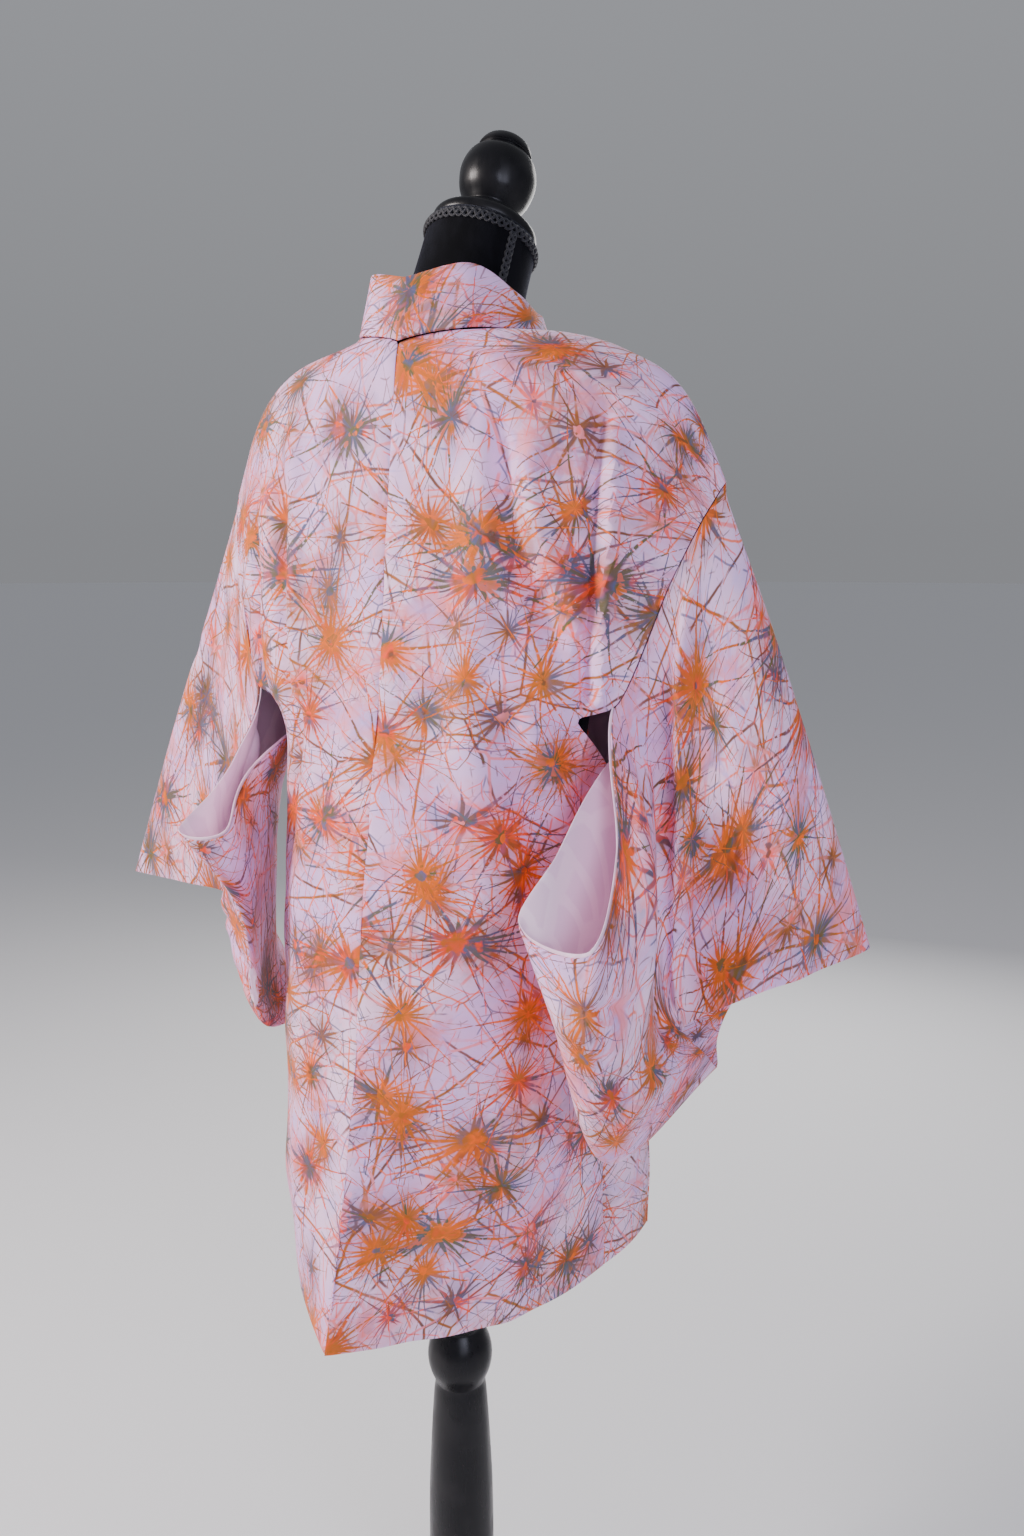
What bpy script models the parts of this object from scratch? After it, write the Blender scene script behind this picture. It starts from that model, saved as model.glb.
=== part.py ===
"""Haori jacket on a limbless velvet dress form and its turned stand.

Metres, +Z up. The front faces -Y and the wearer's left is +X. The origin is the centre of the
base's underside.
"""

import math
from typing import NamedTuple

import bmesh
import bpy
import numpy as np
from mathutils import Matrix

# Cloth
CLOTH_WALL = 0.0020
LINING_WALL = 0.0010
LINING_CLEAR = 0.0008
COLLAR_WALL = 0.0030
GAP = 0.0003  # clearance between one piece and the next
SEAM = 0.0010  # how far an edge stands back from its seam line
PANEL_COLUMNS = 8
SLEEVE_RING = 30
SLEEVE_LENGTHS = 12
SLEEVE_SWAY = (-0.005, -0.001, 0.0)
GUSSET_TOP = 1.045
HEM_Z = 0.587

# Dress form
NECK_LEAN = math.radians(20.0)  # forward
NECK_TILT = math.radians(-6.0)  # to the wearer's right
NECK_FOOT = (0.007, -0.012, 1.420)
NECK_LENGTH = 0.117
NECK_RADIUS = 0.0495
FORM_SIDES = 32

# Stand
TURN_STEPS = 32
POLE_RADIUS = 0.013
POLE_FOOT = 0.4963
FORM_FOOT = 0.740


class PanelRow(NamedTuple):
    """One crosswise section of a body panel, from its inner edge to its side edge."""

    name: str
    cells: int  # mesh rows between this section and the next
    sway: tuple
    x: tuple
    y: tuple
    z: tuple


class SleeveRow(NamedTuple):
    """One ring of a sleeve: the top fold, down the back layer to the seam, and up the front layer."""

    share: float  # 0 at the body, 1 at the cuff
    out: tuple
    back: tuple
    up: tuple


class CollarRow(NamedTuple):
    """The seam edge and the free edge of the collar at one place, x counted outward from the centre."""

    name: str
    cells: int
    sway: float
    seam: tuple
    edge_left: tuple
    edge_right: tuple


class FormRow(NamedTuple):
    """One section of the velvet form."""

    height: float
    half_width: float
    back: float
    front: float


# Body panel, back hem to front hem. Five places across: inner edge, three between, side edge.
# Sway is how far the section stands to the wearer's left, at its inner edge and at its side edge.
PANEL = (
    PanelRow(
        "back_hem",
        3,
        (0.013, 0.000),
        (0.000, 0.050, 0.095, 0.129, 0.151),
        (0.213, 0.170, 0.124, 0.068, -0.009),
        (0.587,) * 5,
    ),
    PanelRow(
        "low_back",
        3,
        (0.012, 0.012),
        (0.000, 0.058, 0.109, 0.141, 0.160),
        (0.187, 0.156, 0.115, 0.057, -0.011),
        (0.690,) * 5,
    ),
    PanelRow(
        "hip_back",
        3,
        (0.010, 0.008),
        (0.000, 0.061, 0.113, 0.145, 0.161),
        (0.163, 0.144, 0.108, 0.053, -0.011),
        (0.820,) * 5,
    ),
    PanelRow(
        "waist_back",
        3,
        (0.009, 0.003),
        (0.000, 0.060, 0.112, 0.146, 0.161),
        (0.148, 0.137, 0.104, 0.053, -0.008),
        (0.950,) * 5,
    ),
    PanelRow(
        "side_slit",
        2,
        (0.008, -0.001),
        (0.000, 0.052, 0.102, 0.139, 0.159),
        (0.129, 0.124, 0.105, 0.064, 0.010),
        (1.060,) * 5,
    ),
    PanelRow(
        "slit_top",
        1,
        (0.007, -0.004),
        (0.000, 0.045, 0.088, 0.124, 0.149),
        (0.120, 0.118, 0.110, 0.095, 0.073),
        (1.120,) * 5,
    ),
    PanelRow(
        "armhole_end",
        2,
        (0.007, -0.005),
        (0.000, 0.050, 0.097, 0.140, 0.176),
        (0.118, 0.116, 0.107, 0.090, 0.065),
        (1.134, 1.134, 1.134, 1.133, 1.132),
    ),
    PanelRow(
        "shoulder_blade",
        2,
        (0.007, -0.005),
        (0.000, 0.056, 0.112, 0.166, 0.214),
        (0.105, 0.103, 0.094, 0.073, 0.038),
        (1.235,) * 5,
    ),
    PanelRow(
        "upper_back",
        2,
        (0.006, -0.005),
        (0.000, 0.059, 0.120, 0.179, 0.232),
        (0.093, 0.091, 0.081, 0.057, 0.017),
        (1.335, 1.337, 1.333, 1.318, 1.283),
    ),
    PanelRow(
        "neck_back",
        2,
        (0.005, -0.005),
        (0.000, 0.062, 0.126, 0.187, 0.2385),
        (0.081, 0.073, 0.060, 0.034, 0.006),
        (1.420, 1.410, 1.396, 1.369, 1.299),
    ),
    PanelRow(
        "neck_corner",
        2,
        (-0.000, -0.005),
        (0.048, 0.094, 0.146, 0.197, 0.2418),
        (0.065, 0.053, 0.039, 0.018, 0.002),
        (1.430, 1.421, 1.407, 1.379, 1.306),
    ),
    PanelRow(
        "shoulder",
        2,
        (-0.005, -0.005),
        (0.080, 0.119, 0.161, 0.205, 0.243),
        (0.000, 0.000, 0.000, 0.000, -0.001),
        (1.434, 1.429, 1.416, 1.386, 1.309),
    ),
    PanelRow(
        "front_corner",
        2,
        (-0.005, -0.005),
        (0.078, 0.116, 0.157, 0.200, 0.2405),
        (-0.038, -0.036, -0.030, -0.018, -0.005),
        (1.419, 1.416, 1.402, 1.373, 1.303),
    ),
    PanelRow(
        "front_neck",
        2,
        (-0.004, -0.005),
        (0.077, 0.116, 0.156, 0.197, 0.234),
        (-0.076, -0.069, -0.056, -0.036, -0.015),
        (1.378, 1.380, 1.370, 1.343, 1.288),
    ),
    PanelRow(
        "upper_front",
        2,
        (-0.004, -0.005),
        (0.076, 0.112, 0.150, 0.187, 0.212),
        (-0.110, -0.105, -0.093, -0.070, -0.043),
        (1.290, 1.290, 1.284, 1.266, 1.230),
    ),
    PanelRow(
        "front_armhole_end",
        1,
        (-0.003, -0.005),
        (0.075, 0.103, 0.130, 0.153, 0.172),
        (-0.138, -0.136, -0.124, -0.100, -0.071),
        (1.134,) * 5,
    ),
    PanelRow(
        "front_slit_top",
        2,
        (-0.002, -0.004),
        (0.075, 0.103, 0.128, 0.147, 0.160),
        (-0.1385, -0.1365, -0.125, -0.105, -0.074),
        (1.122,) * 5,
    ),
    PanelRow(
        "front_slit",
        3,
        (-0.000, -0.001),
        (0.074, 0.103, 0.129, 0.150, 0.164),
        (-0.147, -0.144, -0.130, -0.100, -0.042),
        (1.060,) * 5,
    ),
    PanelRow(
        "waist_front",
        3,
        (0.003, 0.002),
        (0.072, 0.102, 0.130, 0.153, 0.169),
        (-0.163, -0.155, -0.137, -0.105, -0.060),
        (0.950,) * 5,
    ),
    PanelRow(
        "hip_front",
        3,
        (0.008, 0.007),
        (0.070, 0.100, 0.127, 0.151, 0.171),
        (-0.190, -0.178, -0.155, -0.120, -0.076),
        (0.820,) * 5,
    ),
    PanelRow(
        "low_front",
        3,
        (0.011, 0.004),
        (0.068, 0.098, 0.124, 0.147, 0.170),
        (-0.222, -0.205, -0.178, -0.138, -0.088),
        (0.690,) * 5,
    ),
    PanelRow(
        "front_hem",
        0,
        (0.013, 0.004),
        (0.066, 0.096, 0.122, 0.144, 0.168),
        (-0.252, -0.230, -0.200, -0.155, -0.096),
        (0.587,) * 5,
    ),
)
BACK_END = 5  # sections where the side slit stops and the sleeve seam starts
ARMHOLE_START = 6
ARMHOLE_END = 15
FRONT_START = 16

# Sleeves: top fold, back layer 1-4, seam, front layer 4-1.
# The first ring's upper part is the armhole seam.
RIGHT_SLEEVE = (
    SleeveRow(
        0.0,
        (0.243, 0.214, 0.176, 0.200, 0.207, 0.140, 0.155, 0.166, 0.172, 0.212),
        (0.000, 0.039, 0.066, 0.116, 0.180, 0.165, 0.130, 0.080, -0.070, -0.042),
        (1.309, 1.235, 1.132, 1.030, 0.968, 0.972, 1.022, 1.072, 1.134, 1.230),
    ),
    SleeveRow(
        0.33,
        (0.285, 0.254, 0.207, 0.229, 0.214, 0.172, 0.172, 0.190, 0.222, 0.262),
        (0.005, 0.048, 0.042, 0.128, 0.188, 0.176, 0.122, 0.040, -0.040, -0.035),
        (1.197, 1.139, 1.052, 0.985, 0.925, 0.910, 0.950, 1.005, 1.060, 1.130),
    ),
    SleeveRow(
        0.67,
        (0.329, 0.288, 0.214, 0.230, 0.222, 0.202, 0.194, 0.208, 0.242, 0.300),
        (-0.005, 0.030, 0.033, 0.112, 0.145, 0.132, 0.080, 0.012, -0.046, -0.045),
        (1.069, 1.018, 0.923, 0.880, 0.835, 0.775, 0.810, 0.870, 0.925, 1.000),
    ),
    SleeveRow(
        1.0,
        (0.370, 0.302, 0.239, 0.240, 0.247, 0.252, 0.248, 0.256, 0.276, 0.322),
        (-0.030, 0.031, 0.050, 0.034, 0.015, -0.001, -0.012, -0.024, -0.040, -0.054),
        (0.930, 0.904, 0.869, 0.848, 0.828, 0.813, 0.834, 0.862, 0.893, 0.914),
    ),
)
LEFT_SLEEVE = (
    SleeveRow(
        0.0,
        (0.243, 0.214, 0.176, 0.184, 0.188, 0.194, 0.147, 0.158, 0.172, 0.212),
        (0.000, 0.039, 0.066, 0.094, 0.126, 0.163, 0.156, 0.104, -0.070, -0.042),
        (1.309, 1.235, 1.132, 1.072, 1.040, 1.010, 1.014, 1.060, 1.134, 1.230),
    ),
    SleeveRow(
        0.33,
        (0.278, 0.242, 0.208, 0.200, 0.190, 0.143, 0.155, 0.178, 0.222, 0.262),
        (0.002, 0.028, 0.050, 0.078, 0.112, 0.146, 0.112, 0.050, -0.026, -0.035),
        (1.217, 1.130, 1.050, 1.010, 0.965, 0.940, 0.960, 1.000, 1.050, 1.130),
    ),
    SleeveRow(
        0.67,
        (0.321, 0.272, 0.230, 0.206, 0.188, 0.146, 0.170, 0.196, 0.248, 0.300),
        (0.023, 0.045, 0.055, 0.084, 0.100, 0.122, 0.078, 0.030, -0.024, -0.030),
        (1.080, 1.000, 0.945, 0.900, 0.858, 0.830, 0.838, 0.870, 0.915, 1.000),
    ),
    SleeveRow(
        1.0,
        (0.372, 0.291, 0.233, 0.212, 0.200, 0.184, 0.196, 0.218, 0.262, 0.315),
        (0.037, 0.053, 0.047, 0.056, 0.046, 0.020, -0.004, -0.016, -0.026, -0.010),
        (0.923, 0.925, 0.915, 0.868, 0.825, 0.783, 0.806, 0.838, 0.872, 0.905),
    ),
)
RING_KNOTS = 10  # places named round each ring
ARMHOLE_TURN = 0.2  # share of the ring, each way from the top fold, that is sewn to the body
LINING_COLUMNS = (17, 23)  # where the lining starts and stops round the sleeve's mesh
LINING_ROWS = 6

# Collar from the centre back round the neck and down the front edge.
COLLAR = (
    CollarRow(
        "centre_back",
        3,
        0.005,
        (0.000, 0.0808, 1.4235),
        (0.000, 0.067, 1.474),
        (0.000, 0.067, 1.474),
    ),
    CollarRow(
        "back_corner",
        2,
        -0.000,
        (0.048, 0.0648, 1.4335),
        (0.042, 0.054, 1.482),
        (0.044, 0.046, 1.484),
    ),
    CollarRow(
        "neck_side",
        2,
        -0.004,
        (0.0785, 0.0308, 1.4385),
        (0.062, 0.026, 1.480),
        (0.064, 0.012, 1.466),
    ),
    CollarRow(
        "shoulder",
        2,
        -0.005,
        (0.079, -0.003, 1.437),
        (0.067, -0.008, 1.466),
        (0.066, -0.018, 1.456),
    ),
    CollarRow(
        "front_corner",
        2,
        -0.005,
        (0.076, -0.040, 1.421),
        (0.063, -0.047, 1.444),
        (0.060, -0.050, 1.450),
    ),
    CollarRow(
        "front_neck",
        2,
        -0.004,
        (0.0735, -0.078, 1.379),
        (0.043, -0.083, 1.396),
        (0.044, -0.085, 1.400),
    ),
    CollarRow(
        "chest",
        3,
        -0.004,
        (0.0725, -0.1115, 1.290),
        (0.028, -0.120, 1.294),
        (0.028, -0.120, 1.294),
    ),
    CollarRow(
        "bust",
        3,
        -0.003,
        (0.0715, -0.1395, 1.134),
        (0.024, -0.148, 1.134),
        (0.024, -0.148, 1.134),
    ),
    CollarRow(
        "waist",
        4,
        0.003,
        (0.0685, -0.165, 0.950),
        (0.023, -0.175, 0.950),
        (0.023, -0.175, 0.950),
    ),
    CollarRow(
        "low",
        2,
        0.011,
        (0.0645, -0.2245, 0.690),
        (0.020, -0.240, 0.690),
        (0.020, -0.240, 0.690),
    ),
    CollarRow(
        "hem",
        0,
        0.013,
        (0.0625, -0.2545, 0.587),
        (0.018, -0.272, 0.587),
        (0.018, -0.272, 0.587),
    ),
)

FORM = (
    FormRow(0.740, 0.112, 0.088, -0.084),
    FormRow(0.750, 0.122, 0.098, -0.094),
    FormRow(0.820, 0.133, 0.106, -0.102),
    FormRow(0.880, 0.134, 0.104, -0.100),
    FormRow(0.950, 0.120, 0.090, -0.088),
    FormRow(1.020, 0.112, 0.078, -0.080),
    FormRow(1.100, 0.124, 0.078, -0.094),
    FormRow(1.190, 0.136, 0.081, -0.112),
    FormRow(1.270, 0.150, 0.080, -0.096),
    FormRow(1.330, 0.180, 0.070, -0.072),
    FormRow(1.365, 0.184, 0.056, -0.054),
    FormRow(1.392, 0.158, 0.046, -0.046),
    FormRow(1.408, 0.118, 0.044, -0.048),
    FormRow(1.417, 0.084, 0.044, -0.054),
)

COLUMN_PROFILE = (  # radius, height, from the top down
    (0.0000, 0.4960),
    (0.0200, 0.4955),
    (0.0245, 0.4915),
    (0.0250, 0.4875),
    (0.0225, 0.4835),
    (0.0262, 0.4760),
    (0.0310, 0.4640),
    (0.0328, 0.4510),
    (0.0312, 0.4380),
    (0.0262, 0.4245),
    (0.0255, 0.4200),
    (0.0272, 0.4050),
    (0.0300, 0.3600),
    (0.0328, 0.3000),
    (0.0336, 0.2400),
    (0.0330, 0.1900),
    (0.0296, 0.1350),
    (0.0262, 0.1080),
    (0.0300, 0.1000),
    (0.0345, 0.0930),
    (0.0345, 0.0840),
    (0.0300, 0.0800),
    (0.0000, 0.0800),
)
BASE_PROFILE = (
    (0.000, 0.0797),
    (0.0420, 0.0797),
    (0.0460, 0.0740),
    (0.0500, 0.0640),
    (0.0900, 0.0520),
    (0.1350, 0.0400),
    (0.1500, 0.0350),
    (0.1560, 0.0300),
    (0.1700, 0.0270),
    (0.1780, 0.0210),
    (0.1800, 0.0140),
    (0.1770, 0.0060),
    (0.1700, 0.0000),
    (0.000, 0.0000),
)
CAP_PROFILE = (  # radius, height along the neck's lean, from the top down
    (0.000, 0.0210),
    (0.0300, 0.0210),
    (0.0340, 0.0180),
    (0.0360, 0.0130),
    (0.0440, 0.0110),
    (0.0472, 0.0075),
    (0.0472, 0.0025),
    (0.0455, 0.0000),
    (0.000, 0.0000),
)
FINIAL_PROFILE = (
    (0.0000, 0.0740),
    (0.0130, 0.0735),
    (0.0205, 0.0690),
    (0.0245, 0.0620),
    (0.0232, 0.0590),
    (0.0305, 0.0510),
    (0.0342, 0.0400),
    (0.0342, 0.0300),
    (0.0310, 0.0180),
    (0.0240, 0.0080),
    (0.0220, 0.0040),
    (0.0270, 0.0000),
    (0.0000, 0.0000),
)

FINISHES = {  # name: colour, roughness, sheen
    "haori_cloth": ((0.80, 0.68, 0.76, 1.0), 0.75, 0.3),
    "lining_silk": ((0.84, 0.76, 0.80, 1.0), 0.45, 0.3),
    "velvet": ((0.010, 0.010, 0.012, 1.0), 0.95, 0.6),
    "braid": ((0.012, 0.012, 0.014, 1.0), 0.80, 0.2),
    "black_wood": ((0.012, 0.012, 0.015, 1.0), 0.28, 0.0),
}


def clear_scene():
    """Remove every object of the opening scene."""
    for thing in list(bpy.data.objects):
        bpy.data.objects.remove(thing, do_unlink=True)


def make_materials():
    """Return one Principled material for each finish."""
    made = {}
    for name, (colour, rough, sheen) in FINISHES.items():
        material = bpy.data.materials.new(name)
        material.use_nodes = True
        shader = material.node_tree.nodes["Principled BSDF"]
        shader.inputs["Base Color"].default_value = colour
        shader.inputs["Roughness"].default_value = rough
        shader.inputs["Sheen Weight"].default_value = sheen
        material.diffuse_color = colour
        made[name] = material
    return made


def smooth_curve(points, places, closed=False):
    """Return the Catmull-Rom curve through points at the given places, each place counted in points."""
    points = np.asarray(points, float)
    count = len(points)
    places = np.asarray(places, float)
    if closed:
        start = np.floor(places).astype(int)
        picks = [points[(start + k) % count] for k in (-1, 0, 1, 2)]
    else:
        start = np.clip(np.floor(places).astype(int), 0, count - 2)
        first = 2 * points[0] - points[1]
        last = 2 * points[-1] - points[-2]
        padded = np.vstack([first[None], points, last[None]])
        picks = [padded[start + k] for k in (0, 1, 2, 3)]
    t = (places - start)[:, None]
    a, b, c, d = picks
    bend = 2 * a - 5 * b + 4 * c - d
    twist = 3 * b - a - 3 * c + d
    return 0.5 * (2 * b + (c - a) * t + bend * t**2 + twist * t**3)


def steady_curve(points, places):
    """Return a curve through points that never swings past them, at places counted in points."""
    points = np.asarray(points, float)
    step = np.diff(points, axis=0)
    slope = np.zeros_like(points)
    rising = step[:-1] * step[1:] > 0
    total = np.where(np.abs(step[:-1] + step[1:]) < 1e-9, 1.0, step[:-1] + step[1:])
    slope[1:-1] = np.where(rising, 2 * step[:-1] * step[1:] / total, 0.0)
    slope[0] = step[0]
    slope[-1] = step[-1]
    places = np.asarray(places, float)
    start = np.clip(np.floor(places).astype(int), 0, len(points) - 2)
    t = (places - start)[:, None]
    p, q = points[start], points[start + 1]
    m, n = slope[start], slope[start + 1]
    ease = 3 * t**2 - 2 * t**3
    return (1 - ease) * p + ease * q + (t**3 - 2 * t**2 + t) * m + (t**3 - t**2) * n


def row_places(rows):
    """Return the mesh rows' places, counted in table rows, from the cells each row asks for."""
    places = [0.0]
    for index, row in enumerate(rows[:-1]):
        places += [index + (k + 1) / row.cells for k in range(row.cells)]
    return np.array(places)


def panel_points(places, shares, side):
    """Return a body panel's points as [place][share], side 1 for the left and -1 for the right."""
    places = np.asarray(places, float)
    columns = []
    for k in range(5):
        sways = [row.sway[0] + (row.sway[1] - row.sway[0]) * k / 4 for row in PANEL]
        line = [(side * row.x[k] + sway, row.y[k], row.z[k]) for row, sway in zip(PANEL, sways)]
        columns.append(steady_curve(line, places))
    columns = np.stack(columns, 1)
    rows = [smooth_curve(column, np.asarray(shares) * 4.0) for column in columns]
    return np.stack(rows, 0)


def link(mesh, name, material, collection):
    """Make the named object of a mesh in the collection, with its material."""
    thing = bpy.data.objects.new(name, mesh)
    mesh.materials.append(material)
    collection.objects.link(thing)
    return thing


def sheet_object(name, points, material, collection, wall, closed=False):
    """Make a cloth sheet from a grid of points [row][column], given thickness about its middle."""
    points = np.asarray(points)
    rows, columns = points.shape[:2]
    work = bmesh.new()
    bmesh.ops.create_grid(work, x_segments=columns - 1, y_segments=rows - 1, size=0.5)
    for vert in work.verts:
        row = round((vert.co.y + 0.5) * (rows - 1))
        column = round((vert.co.x + 0.5) * (columns - 1))
        vert.co = points[row, column]
    if closed:
        bmesh.ops.remove_doubles(work, verts=work.verts, dist=1e-6)
    mesh = bpy.data.meshes.new(name)
    work.to_mesh(mesh)
    work.free()
    thing = link(mesh, name, material, collection)
    wall_up = thing.modifiers.new("Wall", "SOLIDIFY")
    wall_up.thickness = wall
    wall_up.offset = 0.0
    return thing


def body_panel(name, side, material, collection):
    """Make one body panel, back hem over the shoulder to front hem."""
    shares = np.linspace(0.0, 1.0, PANEL_COLUMNS + 1)
    points = panel_points(row_places(PANEL), shares, side)
    across = points[:, 1] - points[:, 0]
    points[:, 0] += across / np.linalg.norm(across, axis=1)[:, None] * SEAM
    return sheet_object(name, points, material, collection, CLOTH_WALL)


def gusset(name, side, material, collection):
    """Make the wedge between the back and the front panel's side edges."""
    heights = np.linspace(HEM_Z, GUSSET_TOP, 11)
    span = np.arange(0, BACK_END + 1, 0.05)
    back = panel_points(span, [1.0], side)[:, 0]
    span = np.arange(FRONT_START, len(PANEL) - 1 + 0.01, 0.05)
    front = panel_points(span, [1.0], side)[::-1, 0]
    rows = []
    for z in heights:
        start = np.array([np.interp(z, back[:, 2], back[:, k]) for k in range(2)] + [z])
        end = np.array([np.interp(z, front[:, 2], front[:, k]) for k in range(2)] + [z])
        way = (end - start) / np.linalg.norm(end - start)
        shares = np.linspace(0.0, 1.0, 5)[:, None]
        line = (start + way * SEAM) * (1 - shares) + (end - way * SEAM) * shares
        line[:, 0] += side * 0.004 * np.sin(np.pi * shares[:, 0])
        rows.append(line)
    return sheet_object(name, np.array(rows), material, collection, CLOTH_WALL)


def armhole(side, count):
    """Return evenly spaced points down the body's sleeve seam, from the back to the front."""
    fine = panel_points(np.linspace(ARMHOLE_START, ARMHOLE_END, 400), [1.0], side)[:, 0]
    run = np.concatenate([[0.0], np.cumsum(np.linalg.norm(np.diff(fine, axis=0), axis=1))])
    top = np.argmax(fine[:, 2])
    rise = np.linspace(0.0, run[top], count)[:-1]
    even = np.concatenate([rise, np.linspace(run[top], run[-1], count)])
    return np.stack([np.interp(even, run, fine[:, k]) for k in range(3)], 1)


def sleeve_points(table, side, shares, ring):
    """Return a sleeve's points as [share][ring], the ring running 0 to 1 from the top fold."""
    rings = []
    for row in table:
        line = np.stack([side * np.array(row.out), row.back, row.up], 1) + np.array(SLEEVE_SWAY)
        rings.append(smooth_curve(line, np.asarray(ring) * RING_KNOTS, closed=True))
    rings = np.stack(rings, 0)
    seam = armhole(side, 65)
    for index, place in enumerate(ring):
        turn = place if place <= 0.5 else place - 1.0
        if abs(turn) <= ARMHOLE_TURN + 1e-9:
            rings[0, index] = seam[64 - int(round(turn / ARMHOLE_TURN * 64))]
    knots = np.array([row.share for row in table])
    places = np.interp(shares, knots, np.arange(len(table)))
    return np.stack([smooth_curve(rings[:, k], places) for k in range(len(ring))], 1)


def sleeve(name, table, side, material, collection):
    """Make one sleeve: a tube open at the body side and at the cuff."""
    ring = np.linspace(0.0, 1.0, SLEEVE_RING + 1)
    shares = np.linspace(0.0, 1.0, SLEEVE_LENGTHS + 1)
    points = sleeve_points(table, side, shares, ring)
    along = points[1] - points[0]
    points[0] += along / np.linalg.norm(along, axis=1)[:, None] * (2 * SEAM)
    points[:, -1] = points[:, 0]
    return sheet_object(name, points, material, collection, CLOTH_WALL, closed=True)


def sleeve_lining(name, table, side, material, collection):
    """Make the silk inside a sleeve's body-side opening, set in from the sleeve's own points."""
    ring = np.linspace(0.0, 1.0, SLEEVE_RING + 1)
    shares = np.linspace(0.0, 1.0, SLEEVE_LENGTHS + 1)
    points = sleeve_points(table, side, shares, ring)
    points[0] = 0.75 * points[0] + 0.25 * points[1]
    along = np.gradient(points, axis=0)
    before = np.cross(along, points - np.roll(points, 1, axis=1))
    after = np.cross(along, np.roll(points, -1, axis=1) - points)
    before /= np.linalg.norm(before, axis=2)[:, :, None] + 1e-12
    after /= np.linalg.norm(after, axis=2)[:, :, None] + 1e-12
    turn = 1 + np.sum(before * after, axis=2)[:, :, None]
    inward = (before + after) / np.maximum(turn, 0.4)
    centre = points.mean(axis=1)[:, None]
    inward *= np.sign(np.median(np.sum(inward * (centre - points), axis=2)))
    inner = points + inward * ((CLOTH_WALL + LINING_WALL) / 2 + LINING_CLEAR)
    patch = inner[: LINING_ROWS + 1, LINING_COLUMNS[0] : LINING_COLUMNS[1] + 1]
    return sheet_object(name, patch, material, collection, LINING_WALL)


def collar(material, collection):
    """Make the collar band from one front hem, round the neck, to the other."""
    places = row_places(COLLAR)
    seams, edges = [], []
    for side in (-1, 1):
        sways = [np.array([row.sway, 0.0, 0.0]) for row in COLLAR]
        turn = np.array([side, 1.0, 1.0])
        frees = [row.edge_left if side == 1 else row.edge_right for row in COLLAR]
        sewn = [row.seam * turn + sway for row, sway in zip(COLLAR, sways)]
        seams.append(smooth_curve(sewn, places))
        edges.append(smooth_curve([free * turn + sway for free, sway in zip(frees, sways)], places))
    seam = np.vstack([seams[0][:0:-1], seams[1]])
    edge = np.vstack([edges[0][:0:-1], edges[1]])
    shares = np.linspace(0.0, 1.0, 4)[None, :, None]
    points = seam[:, None] * (1 - shares) + edge[:, None] * shares
    return sheet_object("collar", points, material, collection, COLLAR_WALL)


def ring_of(row):
    """Return one section of the torso as a ring of points."""
    angles = np.arange(FORM_SIDES) / FORM_SIDES * 2 * math.pi
    depth = np.where(np.sin(angles) > 0, row.back, -row.front)
    power = 0.85
    x = row.half_width * np.sign(np.cos(angles)) * np.abs(np.cos(angles)) ** power
    y = depth * np.sign(np.sin(angles)) * np.abs(np.sin(angles)) ** power
    return np.stack([x, y, np.full(FORM_SIDES, row.height)], 1)


def neck_place(distance):
    """Return the point on the neck's leaning axis at a distance from its foot."""
    return np.array(NECK_FOOT) + distance * np.array(lean_matrix(1.0).col[2])


def lean_matrix(share):
    """Return the turn from upright to a share of the neck's full lean."""
    forward = Matrix.Rotation(NECK_LEAN * share, 3, "X")
    return Matrix.Rotation(NECK_TILT * share, 3, "Y") @ forward


def neck_ring(share):
    """Return one section of the leaning neck as a ring of points."""
    angles = np.arange(FORM_SIDES) / FORM_SIDES * 2 * math.pi
    radius = NECK_RADIUS + 0.006 * (1 - share) ** 2
    flat = np.stack([radius * np.cos(angles), radius * np.sin(angles), np.zeros(FORM_SIDES)], 1)
    turn = np.array(lean_matrix(min(1.0, 0.35 + share)))
    return flat @ turn.T + neck_place(share * NECK_LENGTH)


def loft_object(name, rings, material, collection):
    """Make a closed solid through rings of points, capped at both ends."""
    rings = np.asarray(rings)
    count, sides = rings.shape[:2]
    work = bmesh.new()
    bmesh.ops.create_grid(work, x_segments=sides, y_segments=count - 1, size=0.5)
    for vert in work.verts:
        row = round((vert.co.y + 0.5) * (count - 1))
        column = round((vert.co.x + 0.5) * sides) % sides
        vert.co = rings[row, column]
    bmesh.ops.remove_doubles(work, verts=work.verts, dist=1e-6)
    bmesh.ops.holes_fill(work, edges=[edge for edge in work.edges if edge.is_boundary], sides=0)
    bmesh.ops.recalc_face_normals(work, faces=work.faces)
    mesh = bpy.data.meshes.new(name)
    work.to_mesh(mesh)
    work.free()
    return link(mesh, name, material, collection)


def turned_object(name, profile, material, collection, foot=(0.0, 0.0, 0.0), lean=0.0):
    """Make a turned solid from a profile at +X, spun round its axis by a Screw modifier."""
    work = bmesh.new()
    verts = [work.verts.new((radius, 0.0, height)) for radius, height in profile]
    for first, second in zip(verts, verts[1:]):
        work.edges.new((first, second))
    mesh = bpy.data.meshes.new(name)
    work.to_mesh(mesh)
    work.free()
    thing = link(mesh, name, material, collection)
    spin = thing.modifiers.new("Turn", "SCREW")
    spin.axis = "Z"
    spin.steps = TURN_STEPS
    spin.render_steps = TURN_STEPS
    spin.use_merge_vertices = True
    spin.merge_threshold = 0.0001
    thing.location = foot
    thing.rotation_euler = lean_matrix(lean).to_euler()
    return thing


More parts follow.
